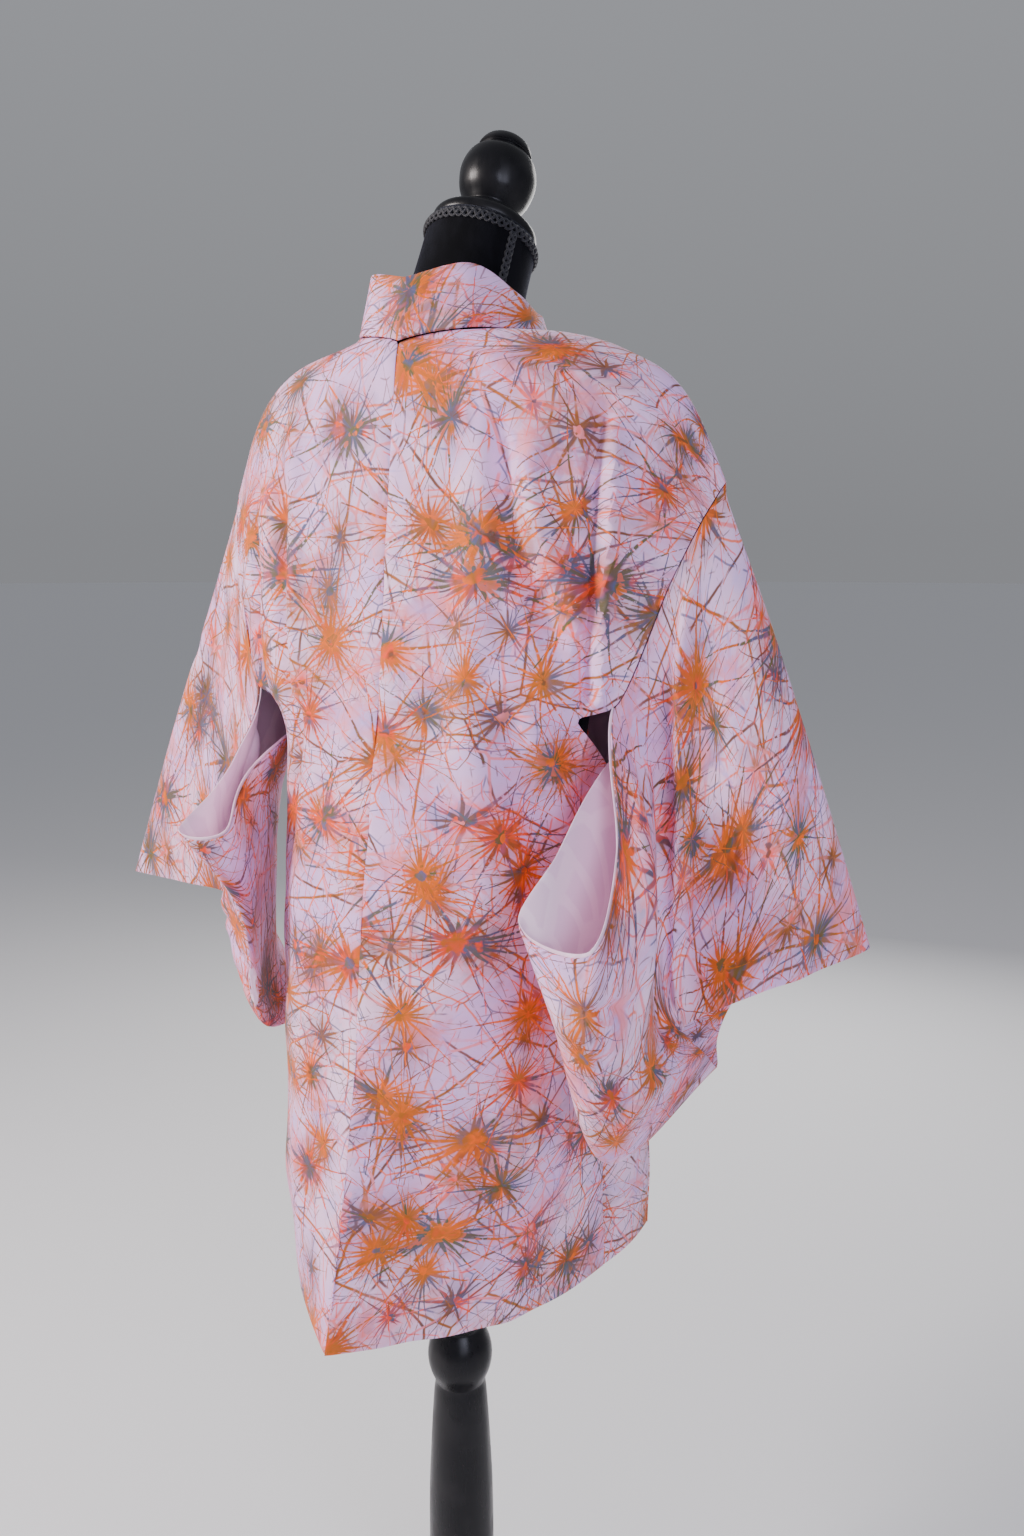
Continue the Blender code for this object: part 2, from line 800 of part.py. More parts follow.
def dress_form(materials, collection):
    """Make the velvet torso and neck, the braid, and the turned cap and finial."""
    rings = [ring_of(row) for row in FORM]
    rings += [neck_ring(share) for share in (0.12, 0.3, 0.5, 0.75, 1.0)]
    loft_object("form_torso", rings, materials["velvet"], collection)
    braid = (
        (NECK_RADIUS + 0.0004, 0.0120),
        (NECK_RADIUS + 0.0022, 0.0110),
        (NECK_RADIUS + 0.0028, 0.0065),
        (NECK_RADIUS + 0.0022, 0.0020),
        (NECK_RADIUS + 0.0004, 0.0010),
        (NECK_RADIUS + 0.0004, 0.0120),
    )
    foot = neck_place(NECK_LENGTH - 0.0135)
    turned_object("neck_braid", braid, materials["braid"], collection, foot, 1.0)
    foot = neck_place(NECK_LENGTH + GAP)
    turned_object("neck_cap", CAP_PROFILE, materials["black_wood"], collection, foot, 1.0)
    foot = neck_place(NECK_LENGTH + CAP_PROFILE[0][1] + 2 * GAP)
    turned_object("finial", FINIAL_PROFILE, materials["black_wood"], collection, foot, 1.0)


def stand(materials, collection):
    """Make the pole under the form, the turned column with its ball, and the round base."""
    pole = (
        (0.0, FORM_FOOT - GAP),
        (POLE_RADIUS, FORM_FOOT - GAP),
        (POLE_RADIUS, POLE_FOOT),
        (0.0, POLE_FOOT),
    )
    turned_object("pole", pole, materials["black_wood"], collection)
    turned_object("column", COLUMN_PROFILE, materials["black_wood"], collection)
    turned_object("base", BASE_PROFILE, materials["black_wood"], collection)


def haori(materials, collection):
    """Make every sewn piece of the jacket."""
    cloth = materials["haori_cloth"]
    silk = materials["lining_silk"]
    for word, side, table in (("left", 1, LEFT_SLEEVE), ("right", -1, RIGHT_SLEEVE)):
        body_panel(f"body_{word}", side, cloth, collection)
        gusset(f"gusset_{word}", side, cloth, collection)
        sleeve(f"sleeve_{word}", table, side, cloth, collection)
        sleeve_lining(f"sleeve_lining_{word}", table, side, silk, collection)
    collar(cloth, collection)


def main():
    """Build the jacket, the form and the stand."""
    clear_scene()
    collection = bpy.data.collections.new("haori_on_form")
    bpy.context.scene.collection.children.link(collection)
    materials = make_materials()
    haori(materials, collection)
    dress_form(materials, collection)
    stand(materials, collection)


main()
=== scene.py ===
"""Looks of a haori jacket on its velvet dress form and turned stand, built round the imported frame.

Metres, +Z up. The front faces -Y and the wearer's left is +X. Every cloth piece is a thin closed shell
laid on the form of the solid it stands for, cut by the same sections at a finer step.
"""

import logging
import math
from dataclasses import dataclass, field
from enum import Enum
from typing import Callable, ClassVar, NamedTuple, Sequence

import bmesh
import bpy
import numpy as np
from mathutils import Euler, Matrix, Vector


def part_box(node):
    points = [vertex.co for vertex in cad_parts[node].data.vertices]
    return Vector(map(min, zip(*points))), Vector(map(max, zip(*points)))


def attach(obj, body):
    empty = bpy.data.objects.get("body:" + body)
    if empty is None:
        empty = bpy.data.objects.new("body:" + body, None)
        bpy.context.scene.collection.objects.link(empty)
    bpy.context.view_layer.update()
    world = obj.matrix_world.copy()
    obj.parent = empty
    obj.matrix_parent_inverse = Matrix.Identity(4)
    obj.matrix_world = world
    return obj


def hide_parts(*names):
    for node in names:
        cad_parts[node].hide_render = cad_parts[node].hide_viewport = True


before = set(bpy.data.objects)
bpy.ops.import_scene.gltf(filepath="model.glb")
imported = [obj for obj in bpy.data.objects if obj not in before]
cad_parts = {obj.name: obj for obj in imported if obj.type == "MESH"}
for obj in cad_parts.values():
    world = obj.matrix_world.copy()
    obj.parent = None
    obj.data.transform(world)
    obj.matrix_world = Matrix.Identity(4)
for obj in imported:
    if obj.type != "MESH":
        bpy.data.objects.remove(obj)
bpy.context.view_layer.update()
log = logging.getLogger("haori")

Points = np.ndarray


class Side(Enum):
    """A side of the wearer."""

    LEFT = 1
    RIGHT = -1

    @property
    def word(self) -> str:
        """Return the side's name as the nodes spell it."""
        return self.name.lower()


class Slot(Enum):
    """The record's material slots."""

    CLOTH = "haori_cloth"
    LINING = "lining_silk"
    VELVET = "velvet"
    BRAID = "braid"
    WOOD = "black_wood"


class PanelRow(NamedTuple):
    """One crosswise section of a body panel, from its inner edge to its side edge."""

    name: str
    cells: int
    sway: tuple[float, float]
    x: tuple[float, ...]
    y: tuple[float, ...]
    z: tuple[float, ...]


class SleeveRow(NamedTuple):
    """One ring of a sleeve: the top fold, down the back layer to the seam, and up the front layer."""

    share: float
    out: tuple[float, ...]
    back: tuple[float, ...]
    up: tuple[float, ...]


class CollarRow(NamedTuple):
    """The seam edge and the free edge of the collar at one place, x counted outward from the centre."""

    name: str
    cells: int
    sway: float
    seam: tuple[float, ...]
    edge_left: tuple[float, ...]
    edge_right: tuple[float, ...]


class FormRow(NamedTuple):
    """One section of the velvet form."""

    height: float
    half_width: float
    back: float
    front: float


class Crease(NamedTuple):
    """A soft ridge (positive height) or trough (negative) along a path of places on a sheet's own grid."""

    path: tuple[tuple[float, float], ...]
    width: float
    height: float
    fade: tuple[float, float] = (0.25, 0.25)

    def past_seam(self) -> "Crease":
        """Return the crease with its ring places counted from the sleeve's bottom seam on."""
        return self._replace(path=tuple((share, turn + (turn < 0.5)) for share, turn in self.path))


# Body panel, back hem to front hem. Five places across: inner edge, three between, side edge.
PANEL = (
    PanelRow(
        "back_hem",
        3,
        (0.013, 0.000),
        (0.000, 0.050, 0.095, 0.129, 0.151),
        (0.213, 0.170, 0.124, 0.068, -0.009),
        (0.587,) * 5,
    ),
    PanelRow(
        "low_back",
        3,
        (0.012, 0.012),
        (0.000, 0.058, 0.109, 0.141, 0.160),
        (0.187, 0.156, 0.115, 0.057, -0.011),
        (0.690,) * 5,
    ),
    PanelRow(
        "hip_back",
        3,
        (0.010, 0.008),
        (0.000, 0.061, 0.113, 0.145, 0.161),
        (0.163, 0.144, 0.108, 0.053, -0.011),
        (0.820,) * 5,
    ),
    PanelRow(
        "waist_back",
        3,
        (0.009, 0.003),
        (0.000, 0.060, 0.112, 0.146, 0.161),
        (0.148, 0.137, 0.104, 0.053, -0.008),
        (0.950,) * 5,
    ),
    PanelRow(
        "side_slit",
        2,
        (0.008, -0.001),
        (0.000, 0.052, 0.102, 0.139, 0.159),
        (0.129, 0.124, 0.105, 0.064, 0.010),
        (1.060,) * 5,
    ),
    PanelRow(
        "slit_top",
        1,
        (0.007, -0.004),
        (0.000, 0.045, 0.088, 0.124, 0.149),
        (0.120, 0.118, 0.110, 0.095, 0.073),
        (1.120,) * 5,
    ),
    PanelRow(
        "armhole_end",
        2,
        (0.007, -0.005),
        (0.000, 0.050, 0.097, 0.140, 0.176),
        (0.118, 0.116, 0.107, 0.090, 0.065),
        (1.134, 1.134, 1.134, 1.133, 1.132),
    ),
    PanelRow(
        "shoulder_blade",
        2,
        (0.007, -0.005),
        (0.000, 0.056, 0.112, 0.166, 0.214),
        (0.105, 0.103, 0.094, 0.073, 0.038),
        (1.235,) * 5,
    ),
    PanelRow(
        "upper_back",
        2,
        (0.006, -0.005),
        (0.000, 0.059, 0.120, 0.179, 0.232),
        (0.093, 0.091, 0.081, 0.057, 0.017),
        (1.335, 1.337, 1.333, 1.318, 1.283),
    ),
    PanelRow(
        "neck_back",
        2,
        (0.005, -0.005),
        (0.000, 0.062, 0.126, 0.187, 0.2385),
        (0.081, 0.073, 0.060, 0.034, 0.006),
        (1.420, 1.410, 1.396, 1.369, 1.299),
    ),
    PanelRow(
        "neck_corner",
        2,
        (-0.000, -0.005),
        (0.048, 0.094, 0.146, 0.197, 0.2418),
        (0.065, 0.053, 0.039, 0.018, 0.002),
        (1.430, 1.421, 1.407, 1.379, 1.306),
    ),
    PanelRow(
        "shoulder",
        2,
        (-0.005, -0.005),
        (0.080, 0.119, 0.161, 0.205, 0.243),
        (0.000, 0.000, 0.000, 0.000, -0.001),
        (1.434, 1.429, 1.416, 1.386, 1.309),
    ),
    PanelRow(
        "front_corner",
        2,
        (-0.005, -0.005),
        (0.078, 0.116, 0.157, 0.200, 0.2405),
        (-0.038, -0.036, -0.030, -0.018, -0.005),
        (1.419, 1.416, 1.402, 1.373, 1.303),
    ),
    PanelRow(
        "front_neck",
        2,
        (-0.004, -0.005),
        (0.077, 0.116, 0.156, 0.197, 0.234),
        (-0.076, -0.069, -0.056, -0.036, -0.015),
        (1.378, 1.380, 1.370, 1.343, 1.288),
    ),
    PanelRow(
        "upper_front",
        2,
        (-0.004, -0.005),
        (0.076, 0.112, 0.150, 0.187, 0.212),
        (-0.110, -0.105, -0.093, -0.070, -0.043),
        (1.290, 1.290, 1.284, 1.266, 1.230),
    ),
    PanelRow(
        "front_armhole_end",
        1,
        (-0.003, -0.005),
        (0.075, 0.103, 0.130, 0.153, 0.172),
        (-0.138, -0.136, -0.124, -0.100, -0.071),
        (1.134,) * 5,
    ),
    PanelRow(
        "front_slit_top",
        2,
        (-0.002, -0.004),
        (0.075, 0.103, 0.128, 0.147, 0.160),
        (-0.1385, -0.1365, -0.125, -0.105, -0.074),
        (1.122,) * 5,
    ),
    PanelRow(
        "front_slit",
        3,
        (-0.000, -0.001),
        (0.074, 0.103, 0.129, 0.150, 0.164),
        (-0.147, -0.144, -0.130, -0.100, -0.042),
        (1.060,) * 5,
    ),
    PanelRow(
        "waist_front",
        3,
        (0.003, 0.002),
        (0.072, 0.102, 0.130, 0.153, 0.169),
        (-0.163, -0.155, -0.137, -0.105, -0.060),
        (0.950,) * 5,
    ),
    PanelRow(
        "hip_front",
        3,
        (0.008, 0.007),
        (0.070, 0.100, 0.127, 0.151, 0.171),
        (-0.190, -0.178, -0.155, -0.120, -0.076),
        (0.820,) * 5,
    ),
    PanelRow(
        "low_front",
        3,
        (0.011, 0.004),
        (0.068, 0.098, 0.124, 0.147, 0.170),
        (-0.222, -0.205, -0.178, -0.138, -0.088),
        (0.690,) * 5,
    ),
    PanelRow(
        "front_hem",
        0,
        (0.013, 0.004),
        (0.066, 0.096, 0.122, 0.144, 0.168),
        (-0.252, -0.230, -0.200, -0.155, -0.096),
        (0.587,) * 5,
    ),
)
ARMHOLE_START = 6
ARMHOLE_END = 15
SLIT_BACK = 5
SLIT_FRONT = 16

# Sleeves: top fold, back layer 1-4, seam, front layer 4-1.
RIGHT_SLEEVE = (
    SleeveRow(
        0.0,
        (0.243, 0.214, 0.176, 0.200, 0.207, 0.140, 0.155, 0.166, 0.172, 0.212),
        (0.000, 0.039, 0.066, 0.116, 0.180, 0.165, 0.130, 0.080, -0.070, -0.042),
        (1.309, 1.235, 1.132, 1.030, 0.968, 0.972, 1.022, 1.072, 1.134, 1.230),
    ),
    SleeveRow(
        0.33,
        (0.285, 0.254, 0.207, 0.229, 0.214, 0.172, 0.172, 0.190, 0.222, 0.262),
        (0.005, 0.048, 0.042, 0.128, 0.188, 0.176, 0.122, 0.040, -0.040, -0.035),
        (1.197, 1.139, 1.052, 0.985, 0.925, 0.910, 0.950, 1.005, 1.060, 1.130),
    ),
    SleeveRow(
        0.67,
        (0.329, 0.288, 0.214, 0.230, 0.222, 0.202, 0.194, 0.208, 0.242, 0.300),
        (-0.005, 0.030, 0.033, 0.112, 0.145, 0.132, 0.080, 0.012, -0.046, -0.045),
        (1.069, 1.018, 0.923, 0.880, 0.835, 0.775, 0.810, 0.870, 0.925, 1.000),
    ),
    SleeveRow(
        1.0,
        (0.370, 0.302, 0.239, 0.240, 0.247, 0.252, 0.248, 0.256, 0.276, 0.322),
        (-0.030, 0.031, 0.050, 0.034, 0.015, -0.001, -0.012, -0.024, -0.040, -0.054),
        (0.930, 0.904, 0.869, 0.848, 0.828, 0.813, 0.834, 0.862, 0.893, 0.914),
    ),
)
LEFT_SLEEVE = (
    SleeveRow(
        0.0,
        (0.243, 0.214, 0.176, 0.184, 0.188, 0.194, 0.147, 0.158, 0.172, 0.212),
        (0.000, 0.039, 0.066, 0.094, 0.126, 0.163, 0.156, 0.104, -0.070, -0.042),
        (1.309, 1.235, 1.132, 1.072, 1.040, 1.010, 1.014, 1.060, 1.134, 1.230),
    ),
    SleeveRow(
        0.33,
        (0.278, 0.242, 0.208, 0.200, 0.190, 0.143, 0.155, 0.178, 0.222, 0.262),
        (0.002, 0.028, 0.050, 0.078, 0.112, 0.146, 0.112, 0.050, -0.026, -0.035),
        (1.217, 1.130, 1.050, 1.010, 0.965, 0.940, 0.960, 1.000, 1.050, 1.130),
    ),
    SleeveRow(
        0.67,
        (0.321, 0.272, 0.230, 0.206, 0.188, 0.146, 0.170, 0.196, 0.248, 0.300),
        (0.023, 0.045, 0.055, 0.084, 0.100, 0.122, 0.078, 0.030, -0.024, -0.030),
        (1.080, 1.000, 0.945, 0.900, 0.858, 0.830, 0.838, 0.870, 0.915, 1.000),
    ),
    SleeveRow(
        1.0,
        (0.372, 0.291, 0.233, 0.212, 0.200, 0.184, 0.196, 0.218, 0.262, 0.315),
        (0.037, 0.053, 0.047, 0.056, 0.046, 0.020, -0.004, -0.016, -0.026, -0.010),
        (0.923, 0.925, 0.915, 0.868, 0.825, 0.783, 0.806, 0.838, 0.872, 0.905),
    ),
)
RING_KNOTS = 10
ARMHOLE_TURN = 0.2
SLEEVE_SWAY = (-0.005, -0.001, 0.0)

# Collar from the centre back round the neck and down the front edge.
COLLAR = (
    CollarRow(
        "centre_back",
        3,
        0.005,
        (0.000, 0.0808, 1.4235),
        (0.000, 0.067, 1.474),
        (0.000, 0.067, 1.474),
    ),
    CollarRow(
        "back_corner",
        2,
        -0.000,
        (0.048, 0.0648, 1.4335),
        (0.042, 0.054, 1.482),
        (0.044, 0.046, 1.484),
    ),
    CollarRow(
        "neck_side",
        2,
        -0.004,
        (0.0785, 0.0308, 1.4385),
        (0.062, 0.026, 1.480),
        (0.064, 0.012, 1.466),
    ),
    CollarRow(
        "shoulder",
        2,
        -0.005,
        (0.079, -0.003, 1.437),
        (0.067, -0.008, 1.466),
        (0.066, -0.018, 1.456),
    ),
    CollarRow(
        "front_corner",
        2,
        -0.005,
        (0.076, -0.040, 1.421),
        (0.063, -0.047, 1.444),
        (0.060, -0.050, 1.450),
    ),
    CollarRow(
        "front_neck",
        2,
        -0.004,
        (0.0735, -0.078, 1.379),
        (0.043, -0.083, 1.396),
        (0.044, -0.085, 1.400),
    ),
    CollarRow(
        "chest",
        3,
        -0.004,
        (0.0725, -0.1115, 1.290),
        (0.028, -0.120, 1.294),
        (0.028, -0.120, 1.294),
    ),
    CollarRow(
        "bust",
        3,
        -0.003,
        (0.0715, -0.1395, 1.134),
        (0.024, -0.148, 1.134),
        (0.024, -0.148, 1.134),
    ),
    CollarRow(
        "waist",
        4,
        0.003,
        (0.0685, -0.165, 0.950),
        (0.023, -0.175, 0.950),
        (0.023, -0.175, 0.950),
    ),
    CollarRow(
        "low",
        2,
        0.011,
        (0.0645, -0.2245, 0.690),
        (0.020, -0.240, 0.690),
        (0.020, -0.240, 0.690),
    ),
    CollarRow(
        "hem",
        0,
        0.013,
        (0.0625, -0.2545, 0.587),
        (0.018, -0.272, 0.587),
        (0.018, -0.272, 0.587),
    ),
)

FORM = (
    FormRow(0.740, 0.112, 0.088, -0.084),
    FormRow(0.750, 0.122, 0.098, -0.094),
    FormRow(0.820, 0.133, 0.106, -0.102),
    FormRow(0.880, 0.134, 0.104, -0.100),
    FormRow(0.950, 0.120, 0.090, -0.088),
    FormRow(1.020, 0.112, 0.078, -0.080),
    FormRow(1.100, 0.124, 0.078, -0.094),
    FormRow(1.190, 0.136, 0.081, -0.112),
    FormRow(1.270, 0.150, 0.080, -0.096),
    FormRow(1.330, 0.180, 0.070, -0.072),
    FormRow(1.365, 0.184, 0.056, -0.054),
    FormRow(1.392, 0.158, 0.046, -0.046),
    FormRow(1.408, 0.118, 0.044, -0.048),
    FormRow(1.417, 0.084, 0.044, -0.054),
)

COLUMN_PROFILE = (  # radius, height, from the top down
    (0.0000, 0.4960),
    (0.0200, 0.4955),
    (0.0245, 0.4915),
    (0.0250, 0.4875),
    (0.0225, 0.4835),
    (0.0262, 0.4760),
    (0.0310, 0.4640),
    (0.0328, 0.4510),
    (0.0312, 0.4380),
    (0.0262, 0.4245),
    (0.0255, 0.4200),
    (0.0272, 0.4050),
    (0.0300, 0.3600),
    (0.0328, 0.3000),
    (0.0336, 0.2400),
    (0.0330, 0.1900),
    (0.0296, 0.1350),
    (0.0262, 0.1080),
    (0.0300, 0.1000),
    (0.0345, 0.0930),
    (0.0345, 0.0840),
    (0.0300, 0.0800),
    (0.0000, 0.0800),
)
BASE_PROFILE = (
    (0.000, 0.0797),
    (0.0420, 0.0797),
    (0.0460, 0.0740),
    (0.0500, 0.0640),
    (0.0900, 0.0520),
    (0.1350, 0.0400),
    (0.1500, 0.0350),
    (0.1560, 0.0300),
    (0.1700, 0.0270),
    (0.1780, 0.0210),
    (0.1800, 0.0140),
    (0.1770, 0.0060),
    (0.1700, 0.0000),
    (0.000, 0.0000),
)
CAP_PROFILE = (  # radius, height along the neck's lean, from the top down
    (0.000, 0.0210),
    (0.0300, 0.0210),
    (0.0340, 0.0180),
    (0.0360, 0.0130),
    (0.0440, 0.0110),
    (0.0472, 0.0075),
    (0.0472, 0.0025),
    (0.0455, 0.0000),
    (0.000, 0.0000),
)
FINIAL_PROFILE = (
    (0.0000, 0.0740),
    (0.0130, 0.0735),
    (0.0205, 0.0690),
    (0.0245, 0.0620),
    (0.0232, 0.0590),
    (0.0305, 0.0510),
    (0.0342, 0.0400),
    (0.0342, 0.0300),
    (0.0310, 0.0180),
    (0.0240, 0.0080),
    (0.0220, 0.0040),
    (0.0270, 0.0000),
    (0.0000, 0.0000),
)

HEM_Z = 0.587  # the side wedge's foot
GUSSET_TOP = 1.045  # the side wedge's point
NECK_LEAN = math.radians(20.0)  # forward
NECK_TILT = math.radians(-6.0)  # to the wearer's right
NECK_FOOT = (0.007, -0.012, 1.420)
NECK_LENGTH = 0.117
NECK_RADIUS = 0.0495
NECK_FLARE = 0.006
GAP = 0.0003


def smooth_curve(points: Points, places: Points, closed: bool = False) -> Points:
    """Sample the Catmull-Rom curve through points.

    Args:
        points: the points that the curve passes through.
        places: where to sample it, counted in points.
        closed: whether the curve runs on from its last point to its first.

    Returns:
        One point for each place.
    """
    points = np.asarray(points, float)
    places = np.asarray(places, float)
    count = len(points)
    if closed:
        start = np.floor(places).astype(int)
        picks = [points[(start + k) % count] for k in (-1, 0, 1, 2)]
    else:
        start = np.clip(np.floor(places).astype(int), 0, count - 2)
        ends = 2 * points[0] - points[1], 2 * points[-1] - points[-2]
        padded = np.concatenate([ends[0][None], points, ends[1][None]])
        picks = [padded[start + k] for k in (0, 1, 2, 3)]
    t = (places - start).reshape((-1,) + (1,) * (points.ndim - 1))
    a, b, c, d = picks
    bend = 2 * a - 5 * b + 4 * c - d
    twist = 3 * b - a - 3 * c + d
    return 0.5 * (2 * b + (c - a) * t + bend * t**2 + twist * t**3)


def steady_curve(points: Points, places: Points) -> Points:
    """Sample a curve through points that never swings past them.

    Args:
        points: the points that the curve passes through.
        places: where to sample it, counted in points.

    Returns:
        One point for each place.
    """
    points = np.asarray(points, float)
    places = np.asarray(places, float)
    step = np.diff(points, axis=0)
    before, after = step[:-1], step[1:]
    total = np.where(np.abs(before + after) < 1e-9, 1.0, before + after)
    middle = np.where(before * after > 0, 2 * before * after / total, 0.0)
    slope = np.concatenate([step[:1], middle, step[-1:]])
    start = np.clip(np.floor(places).astype(int), 0, len(points) - 2)
    t = (places - start)[:, None]
    ease = 3 * t**2 - 2 * t**3
    reach = (1 - ease) * points[start] + ease * points[start + 1]
    return reach + (t**3 - 2 * t**2 + t) * slope[start] + (t**3 - t**2) * slope[start + 1]


def panel_points(places: Points, shares: Points, side: Side) -> Points:
    """Return a body panel's points as [place][share].

    Args:
        places: places along the panel, counted in sections from the back hem.
        shares: places across it, 0 at the inner edge and 1 at the side edge.
        side: the wearer's side.

    Returns:
        The grid of points.
    """
    columns = []
    for k in range(5):
        lean = [row.sway[0] + (row.sway[1] - row.sway[0]) * k / 4 for row in PANEL]
        line = [(side.value * row.x[k] + sway, row.y[k], row.z[k]) for row, sway in zip(PANEL, lean)]
        columns.append(steady_curve(line, places))
    across = smooth_curve(np.stack(columns, 0), np.asarray(shares) * 4.0)
    return np.swapaxes(across, 0, 1)


def armhole(side: Side, count: int) -> Points:
    """Return evenly spaced points down the body's sleeve seam, the top fold in the middle.

    Args:
        side: the wearer's side.
        count: how many points there are on each side of the top fold, which belongs to both.

    Returns:
        The points, from the back to the front.
    """
    fine = panel_points(np.linspace(ARMHOLE_START, ARMHOLE_END, 800), np.ones(1), side)[:, 0]
    run = np.concatenate([[0.0], np.cumsum(np.linalg.norm(np.diff(fine, axis=0), axis=1))])
    top = np.argmax(fine[:, 2])
    rise = np.linspace(0.0, run[top], count)[:-1]
    even = np.concatenate([rise, np.linspace(run[top], run[-1], count)])
    return np.stack([np.interp(even, run, fine[:, k]) for k in range(3)], 1)


def sleeve_points(table: Sequence[SleeveRow], side: Side, shares: Points, ring: Points) -> Points:
    """Return a sleeve's points as [share][ring].

    Args:
        table: the sleeve's rings.
        side: the wearer's side.
        shares: places along the sleeve, 0 at the body and 1 at the cuff.
        ring: places round it in whole turns, 0 at the top fold.

    Returns:
        The grid of points.
    """
    rings = []
    for row in table:
        line = np.stack([side.value * np.array(row.out), row.back, row.up], 1) + np.array(SLEEVE_SWAY)
        rings.append(smooth_curve(line, np.asarray(ring) * RING_KNOTS, closed=True))
    rings = np.stack(rings, 0)
    count = 400
    seam = armhole(side, count + 1)
    turn = (np.asarray(ring) + 0.5) % 1.0 - 0.5
    sewn = np.abs(turn) <= ARMHOLE_TURN + 1e-9
    place = count - turn[sewn] / ARMHOLE_TURN * count
    rings[0, sewn] = np.stack([np.interp(place, np.arange(len(seam)), seam[:, k]) for k in range(3)], 1)
    knots = np.array([row.share for row in table])
    return smooth_curve(rings, np.interp(shares, knots, np.arange(len(table))))


def lean_matrix(share: float) -> Matrix:
    """Return the turn from upright to a share of the neck's full lean."""
    forward = Matrix.Rotation(NECK_LEAN * share, 3, "X")
    return Matrix.Rotation(NECK_TILT * share, 3, "Y") @ forward


def neck_place(distance: float) -> Points:
    """Return the point on the neck's leaning axis at a distance from its foot."""
    return np.array(NECK_FOOT) + distance * np.array(lean_matrix(1.0).col[2])


def run_lengths(points: Points, axis: int) -> Points:
    """Return how far each grid point is along its row or column, in metres."""
    step = np.linalg.norm(np.diff(points, axis=axis), axis=2)
    first = np.zeros_like(np.take(step, [0], axis=axis))
    return np.cumsum(np.concatenate([first, step], axis=axis), axis=axis)


def outward(points: Points, closed: bool = False) -> Points:
    """Return the unit normals of a grid of points.

    Args:
        points: the grid, [row][column].
        closed: whether the last column is the first one again.

    Returns:
        One unit vector for each point.
    """
    if closed:
        ring = points[:, :-1]
        across = np.roll(ring, -1, axis=1) - np.roll(ring, 1, axis=1)
        across = np.concatenate([across, across[:, :1]], axis=1)
    else:
        across = np.gradient(points, axis=1)
    normal = np.cross(np.gradient(points, axis=0), across)
    return normal / (np.linalg.norm(normal, axis=2)[:, :, None] + 1e-12)


def relaxed(points: Points, passes: int, closed: bool = False) -> Points:
    """Return the grid with its interior eased, the edges staying where they are.

    Args:
        points: the grid, [row][column].
        passes: how many times each point moves half way to its neighbours' middle.
        closed: whether the last column is the first one again.

    Returns:
        The eased grid.
    """
    eased = points.copy()
    for _ in range(passes):
        eased[1:-1] = 0.5 * eased[1:-1] + 0.25 * (eased[:-2] + eased[2:])
        if closed:
            ring = eased[:, :-1]
            ring = 0.5 * ring + 0.25 * (np.roll(ring, 1, axis=1) + np.roll(ring, -1, axis=1))
            eased[1:] = np.concatenate([ring, ring[:, :1]], axis=1)[1:]
        else:
            eased[:, 1:-1] = 0.5 * eased[:, 1:-1] + 0.25 * (eased[:, :-2] + eased[:, 2:])
    if closed:
        return eased
    column = np.arange(points.shape[1])
    inset = eased_step(np.minimum(column, column[::-1]), 0.0, 4.0)[None, :, None]
    return points + (eased - points) * inset


def eased_step(value: Points, low: float, high: float) -> Points:
    """Return 0 below low, 1 above high and a smooth rise between."""
    t = np.clip((value - low) / (high - low), 0.0, 1.0)
    return t * t * (3 - 2 * t)


